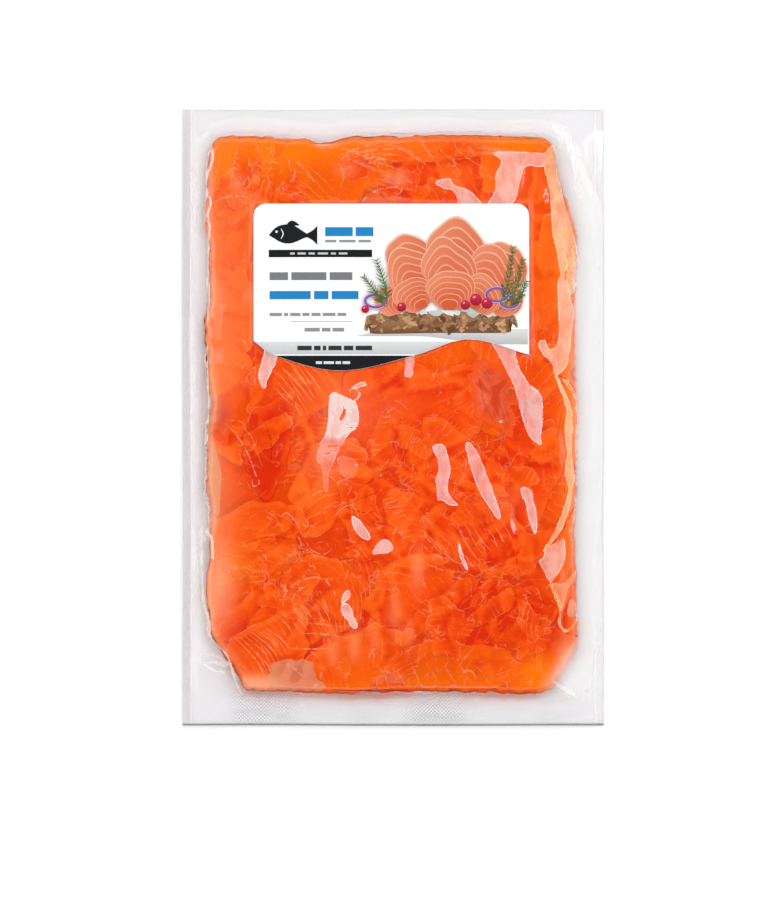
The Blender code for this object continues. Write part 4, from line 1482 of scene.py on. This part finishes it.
def next_layer():
    """What is printed from here on lies over what is already there."""
    layers.append(len(printed))


def lay_ink(size, place, colour, end_colour=None):
    """Prints one shape: place turns a grid's (u, v) into x and y in mm; its colour may run along v."""
    mesh = print_blanks[size].data.copy()
    u, v, _ = points_of(mesh).T
    x, y = place(u, v)
    x, y = x * MM, y * MM
    set_points(mesh, x, y, read(label_bed, x, y) + LABEL_THICK + INK_LIFT + INK_STEP * len(layers))
    share = (v[:, None] + 1) / 2
    mixed = np.array(colour) * (1 - share) + np.array(end_colour or colour) * share
    tint = mesh.attributes.new("ink", "FLOAT_COLOR", "POINT")
    tint.data.foreach_set("color", np.column_stack((mixed, np.ones(len(mixed)))).astype(np.float32).ravel())
    printed.append(mesh)


def stroke(points, colour, end_colour=None, size=RIBBON, shift=0.0, share=1.0):
    """A band along a smooth path, or a narrower one beside its middle line."""
    lay_ink(size, lambda u, v: along_path(points, u, v, shift, share), colour, end_colour)


def outline():
    """The waves of a ragged spot's outline."""
    return rng.uniform(0, TURN, 5), rng.uniform(0.4, 1, 5) / np.arange(2, 7)


def blot(x, y, length, width, turn, colour, end_colour=None, torn=0.0, shape=None):
    """A round or ragged spot."""
    phases, sizes = shape or outline()
    cos, sin = math.cos(turn), math.sin(turn)

    def place(u, v):
        du, dv = rounded(u, v)
        reach = ragged(np.arctan2(dv, du), phases, torn * sizes)
        du, dv = du * reach * length / 2, dv * reach * width / 2
        return x + du * cos - dv * sin, y + du * sin + dv * cos

    lay_ink(SPOT, place, colour, end_colour)


def field(x_start, x_end, lower, upper, colour, end_colour=None):
    """A field of colour between two curves."""

    def place(u, v):
        x = x_start + (u + 1) / 2 * (x_end - x_start)
        bottom, top = lower(x), upper(x)
        return x, bottom + (v + 1) / 2 * (top - bottom)

    lay_ink(FIELD, place, colour, end_colour)


def dashes(x, y, height, lengths, colour, gap=1.0):
    """A row of blocks in place of a line of words."""
    for length in lengths:
        end = x + length
        stroke(((x, y, height), (end, y, height)), colour)
        x = end + gap


def hem(x):
    """The label's lower edge, in mm."""
    return np.interp(x * MM, hem_x, hem_y) / MM + 0.1


def above_hem(height):
    """A level line that never falls below the hem."""
    return lambda x: np.maximum(hem(x), height)


def plate_lower(x):
    return np.maximum(hem(x) + 0.1, 39.5 - 4 * ease((x - 10) / 40))


def plate_upper(x):
    return np.maximum(hem(x) + 0.4, 40 + PLATE_EDGE * ease((x + 17) / 12))


def mixed_paint(first, second, share):
    return tuple(a * (1 - share) + b * share for a, b in zip(first, second))


black = paint(14, 17, 22)
blue = paint(28, 138, 204)
grey = paint(128, 130, 134)
mid_grey = paint(150, 152, 156)
white = paint(255, 255, 255)
pale_fold = paint(250, 190, 158)
light_fold = paint(243, 146, 106)
deep_fold = paint(216, 84, 48)

# The grey band and the black field along the hem, with blocks on them
field(-67.5, 40.0, above_hem(BAND_BOTTOM), above_hem(BAND_TOP), paint(206, 207, 209), paint(232, 233, 234))
field(-58.6, 12.0, hem, above_hem(BAND_BOTTOM - 0.6), black)
next_layer()
dashes(-46.5, 33.7, 2.2, (7.0, 3.2, 1.6, 6.4, 4.6, 8.0), paint(44, 46, 50), 1.1)
dashes(-37.5, 26.6, 1.3, (3.0, 5.0, 2.6, 3.6), paint(235, 236, 238), 0.8)

# A plain fish with its fin, tail and gill, blue blocks beside it and a black bar below
body = ((-60.2, 88.6, 0.4), (-55.4, 89.2, 7.6), (-49.4, 89, 9.0), (-42.4, 88.4, 2.2), (-41, 88.4, 1.8))
stroke(body, black, size=WIDE_BAND)
stroke(((-51.9, 92.6, 0.6), (-49.2, 94.2, 2.8), (-45.6, 93.4, 0.4)), black)
next_layer()
stroke(((-42, 88.4, 1.6), (-39.0, 88.4, 5.0), (-36.8, 88.4, 9.4)), black)
blot(-56.6, 90.2, 1.2, 1.2, 0, white)
stroke(((-54.4, 91.6, 0.3), (-53.4, 89.2, 0.5), (-54.4, 86.8, 0.3)), white)
dashes(-33, 90.2, 4.4, (13.4, 8.6), blue, 1.4)
dashes(-33, 85.6, 1.2, (5.4, 8.0, 6.0), mid_grey, 1.4)
stroke(((-60.4, 79.6, 3.6), (-10.2, 79.6, 3.6)), black)
next_layer()
dashes(-50, 79.6, 1.0, (2.2, 4.0, 3.0, 5.0, 2.4, 4.2), paint(205, 207, 210), 1.4)

# Blocks in place of the heading and the small print
dashes(-60, 68.6, 3.8, (9.0, 17.0, 11.0), grey, 1.6)
dashes(-60, 59.4, 4.0, (20.0, 7.0, 13.0), blue, 1.6)
dashes(-60, 50.0, 1.5, (6.0, 2.0, 5.0, 3.4, 4.4, 6.2, 4.2), mid_grey)
stroke(((-50.0, 46.6, 0.3), (-19.6, 46.6, 0.3)), paint(176, 178, 182))
dashes(-43.0, 42.6, 1.8, (7.4, 4.2, 5.6), mid_grey)

# The picture: a plate, a slice of bread with its crumbs, and cream
field(-17, 65.5, plate_lower, plate_upper, paint(196, 197, 196), paint(234, 234, 232))
next_layer()
bread = ((-11.5, 45.0, 5), (-9, 45.4, 9.6), (22, 46.2, 10.4), (54, 46.0, 9.8), (58.0, 45.6, 5))
stroke(bread, paint(118, 76, 46), paint(188, 140, 98), size=WIDE_BAND)
for _ in range(CRUMBS):
    next_layer()
    x, y, tan = rng.uniform(-10.5, 56.5), rng.uniform(42.2, 50.6), rng.uniform(0, 1)
    shape = (rng.uniform(1.8, 5.0), rng.uniform(1.2, 3.0), rng.uniform(-0.8, 0.8))
    blot(x, y, *shape, paint(96 + 130 * tan, 58 + 118 * tan, 34 + 94 * tan), torn=0.8)
for _ in range(CREAM_SPOTS):
    next_layer()
    x, shade, y = rng.uniform(-9, 54), rng.uniform(0, 1), rng.uniform(50.5, 53.5)
    shape = (rng.uniform(4, 9), rng.uniform(2, 4), rng.uniform(-0.4, 0.4))
    blot(x, y, *shape, paint(190 + 52 * shade, 196 + 48 * shade, 182 + 56 * shade), torn=0.6)

# Each fold is a stack of ever smaller bands, each with a pale rim and a darker middle
for x, y, reach, width, turn in FOLDS:
    way = math.radians(turn)
    shape = outline()
    for band in range(BANDS):
        rim_tint = mixed_paint(pale_fold, light_fold, min(0.25 * band, 0.6))
        tint = mixed_paint(light_fold, deep_fold, band / BANDS)
        shade = mixed_paint(tint, deep_fold, 0.45)
        for outer, *colours in ((1.0, rim_tint, rim_tint), (0.972, shade, tint)):
            outer = outer - band / (BANDS + 1)
            length = reach * outer
            middle = (x + length / 2 * math.cos(way), y + length / 2 * math.sin(way))
            next_layer()
            blot(*middle, length, width * outer**0.8, way, *colours, torn=0.16, shape=shape)

# Purple onion rings, red berries and dill
next_layer()
for x, y, radius in ONION_RINGS:
    around = np.linspace(0.3, TURN + 0.2, 13)
    ring = [(x + radius * math.cos(turn), y + 0.62 * radius * math.sin(turn), 1.5) for turn in around]
    next_layer()
    stroke(ring, paint(86, 40, 128), paint(160, 104, 186), size=WIDE_BAND)
    next_layer()
    stroke(ring, paint(214, 186, 224), shift=-0.7, share=0.25, size=WIDE_BAND)
for x, y, radius in BERRIES:
    next_layer()
    blot(x, y, 2 * radius, 2 * radius, 0, paint(150, 14, 40), paint(222, 42, 78))
    next_layer()
    blot(x - 0.3 * radius, y + 0.4 * radius, 0.5 * radius, 0.35 * radius, 0.5, paint(250, 170, 186))
for x, y, end_x, end_y in SPRIGS:
    bend_x, bend_y = (x + end_x) / 2 + 1.5, (y + end_y) / 2 - 1.5
    next_layer()
    stroke(((x, y, 0.8), (bend_x, bend_y, 0.6), (end_x, end_y, 0.3)), paint(104, 134, 66))
    for share in np.linspace(0.15, 1.0, LEAVES):
        sx = (1 - share) ** 2 * x + 2 * share * (1 - share) * bend_x + share**2 * end_x
        sy = (1 - share) ** 2 * y + 2 * share * (1 - share) * bend_y + share**2 * end_y
        for side in (-1, 1):
            way = math.atan2(end_y - y, end_x - x) + side * rng.uniform(0.5, 1.1)
            length = (4.6 - 2.4 * share) * rng.uniform(0.7, 1.2)
            tip = (sx + length * math.cos(way), sy + length * math.sin(way), 0.2)
            green = rng.uniform(0, 1)
            stroke(((sx, sy, 0.6), tip), paint(52 + 70 * green, 92 + 60 * green, 36 + 40 * green))

label_print = joined("label_print", printed)
for blank in print_blanks.values():
    bpy.data.objects.remove(blank)
look = Look("printing ink")
grain = look.scaled(look.speckle(1500.0, 2.0), 0.22, 0.87)
ink = look.add("VectorMath", {0: look.stored("ink", "Color"), "Scale": grain}, operation="SCALE")
label_print.data.materials.append(look.plain(ink, 0.5, 0.2))
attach(label_print, "root")
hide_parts("label")


# ---- The table, the lights and the camera -----------------------------------------------------
# The pack lies on a plain white table, under wide soft lamps all round and a small one above, and
# the camera looks straight down on it.

LAMP_POWER = 0.80
TABLE_SIZE = 3.2
TABLE_GAP = 0.2 * MM
CAMERA_PLACE = (-0.0037, -0.0158, 2.0)
# The camera sees this width, in metres, at this height over the table
FRAME_WIDTH = 0.3753
FRAME_HEIGHT = 0.006
SENSOR = 36.0

scene = bpy.context.scene
scene.view_settings.view_transform = "Standard"
scene.view_settings.look = "None"

bpy.ops.object.select_all(action="DESELECT")
bpy.ops.mesh.primitive_plane_add(size=TABLE_SIZE, location=(0, 0, -TABLE_GAP))
table = bpy.context.object
table.name = "table"
table.data.materials.append(Look("white table").plain((0.95, 0.95, 0.95), 0.9, 0.1))
table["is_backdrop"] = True

# Each lamp: its place, width and length in metres, and power
for name, place, width, length, power in (
    ("left softbox", (-1.5, 0.3, 1.3), 2.2, 2.2, 34),
    ("right softbox", (1.5, 0.1, 1.3), 2.2, 2.2, 34),
    ("far softbox", (0.1, 1.6, 1.3), 2.0, 2.0, 26),
    ("near softbox", (0.0, -1.6, 1.3), 2.0, 2.0, 22),
    ("high strip", (0.45, 0.35, 1.5), 0.06, 0.2, 0.8),
):
    light = bpy.data.lights.new(name, "AREA")
    light.shape = "RECTANGLE"
    light.size, light.size_y = width, length
    light.energy = power * LAMP_POWER
    lamp = bpy.data.objects.new(name, light)
    lamp.location = place
    lamp.rotation_euler = (-Vector(place)).to_track_quat("-Z", "Y").to_euler()
    scene.collection.objects.link(lamp)

# The room is dim, and plain light grey where the camera sees it
studio = Look("studio", "worlds")
dim = studio.add("Background", {0: (1.0, 1.0, 1.0), 1: 0.03})
seen = studio.add("Background", {0: (0.95, 0.95, 0.95)})
by_camera = studio.add("LightPath", {}, "Is Camera Ray")
room = studio.add("MixShader", {0: by_camera, 1: dim, 2: seen})
scene.world = studio.shown(room, "World")

camera = bpy.data.objects.new("camera", bpy.data.cameras.new("camera"))
camera.location = CAMERA_PLACE
camera.data.sensor_fit = "HORIZONTAL"
camera.data.sensor_width = SENSOR
camera.data.lens = SENSOR * (CAMERA_PLACE[2] - FRAME_HEIGHT) / FRAME_WIDTH
scene.collection.objects.link(camera)
scene.camera = camera

[[list(map(float, corner)) for corner in box] for box in (cad_box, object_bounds())]
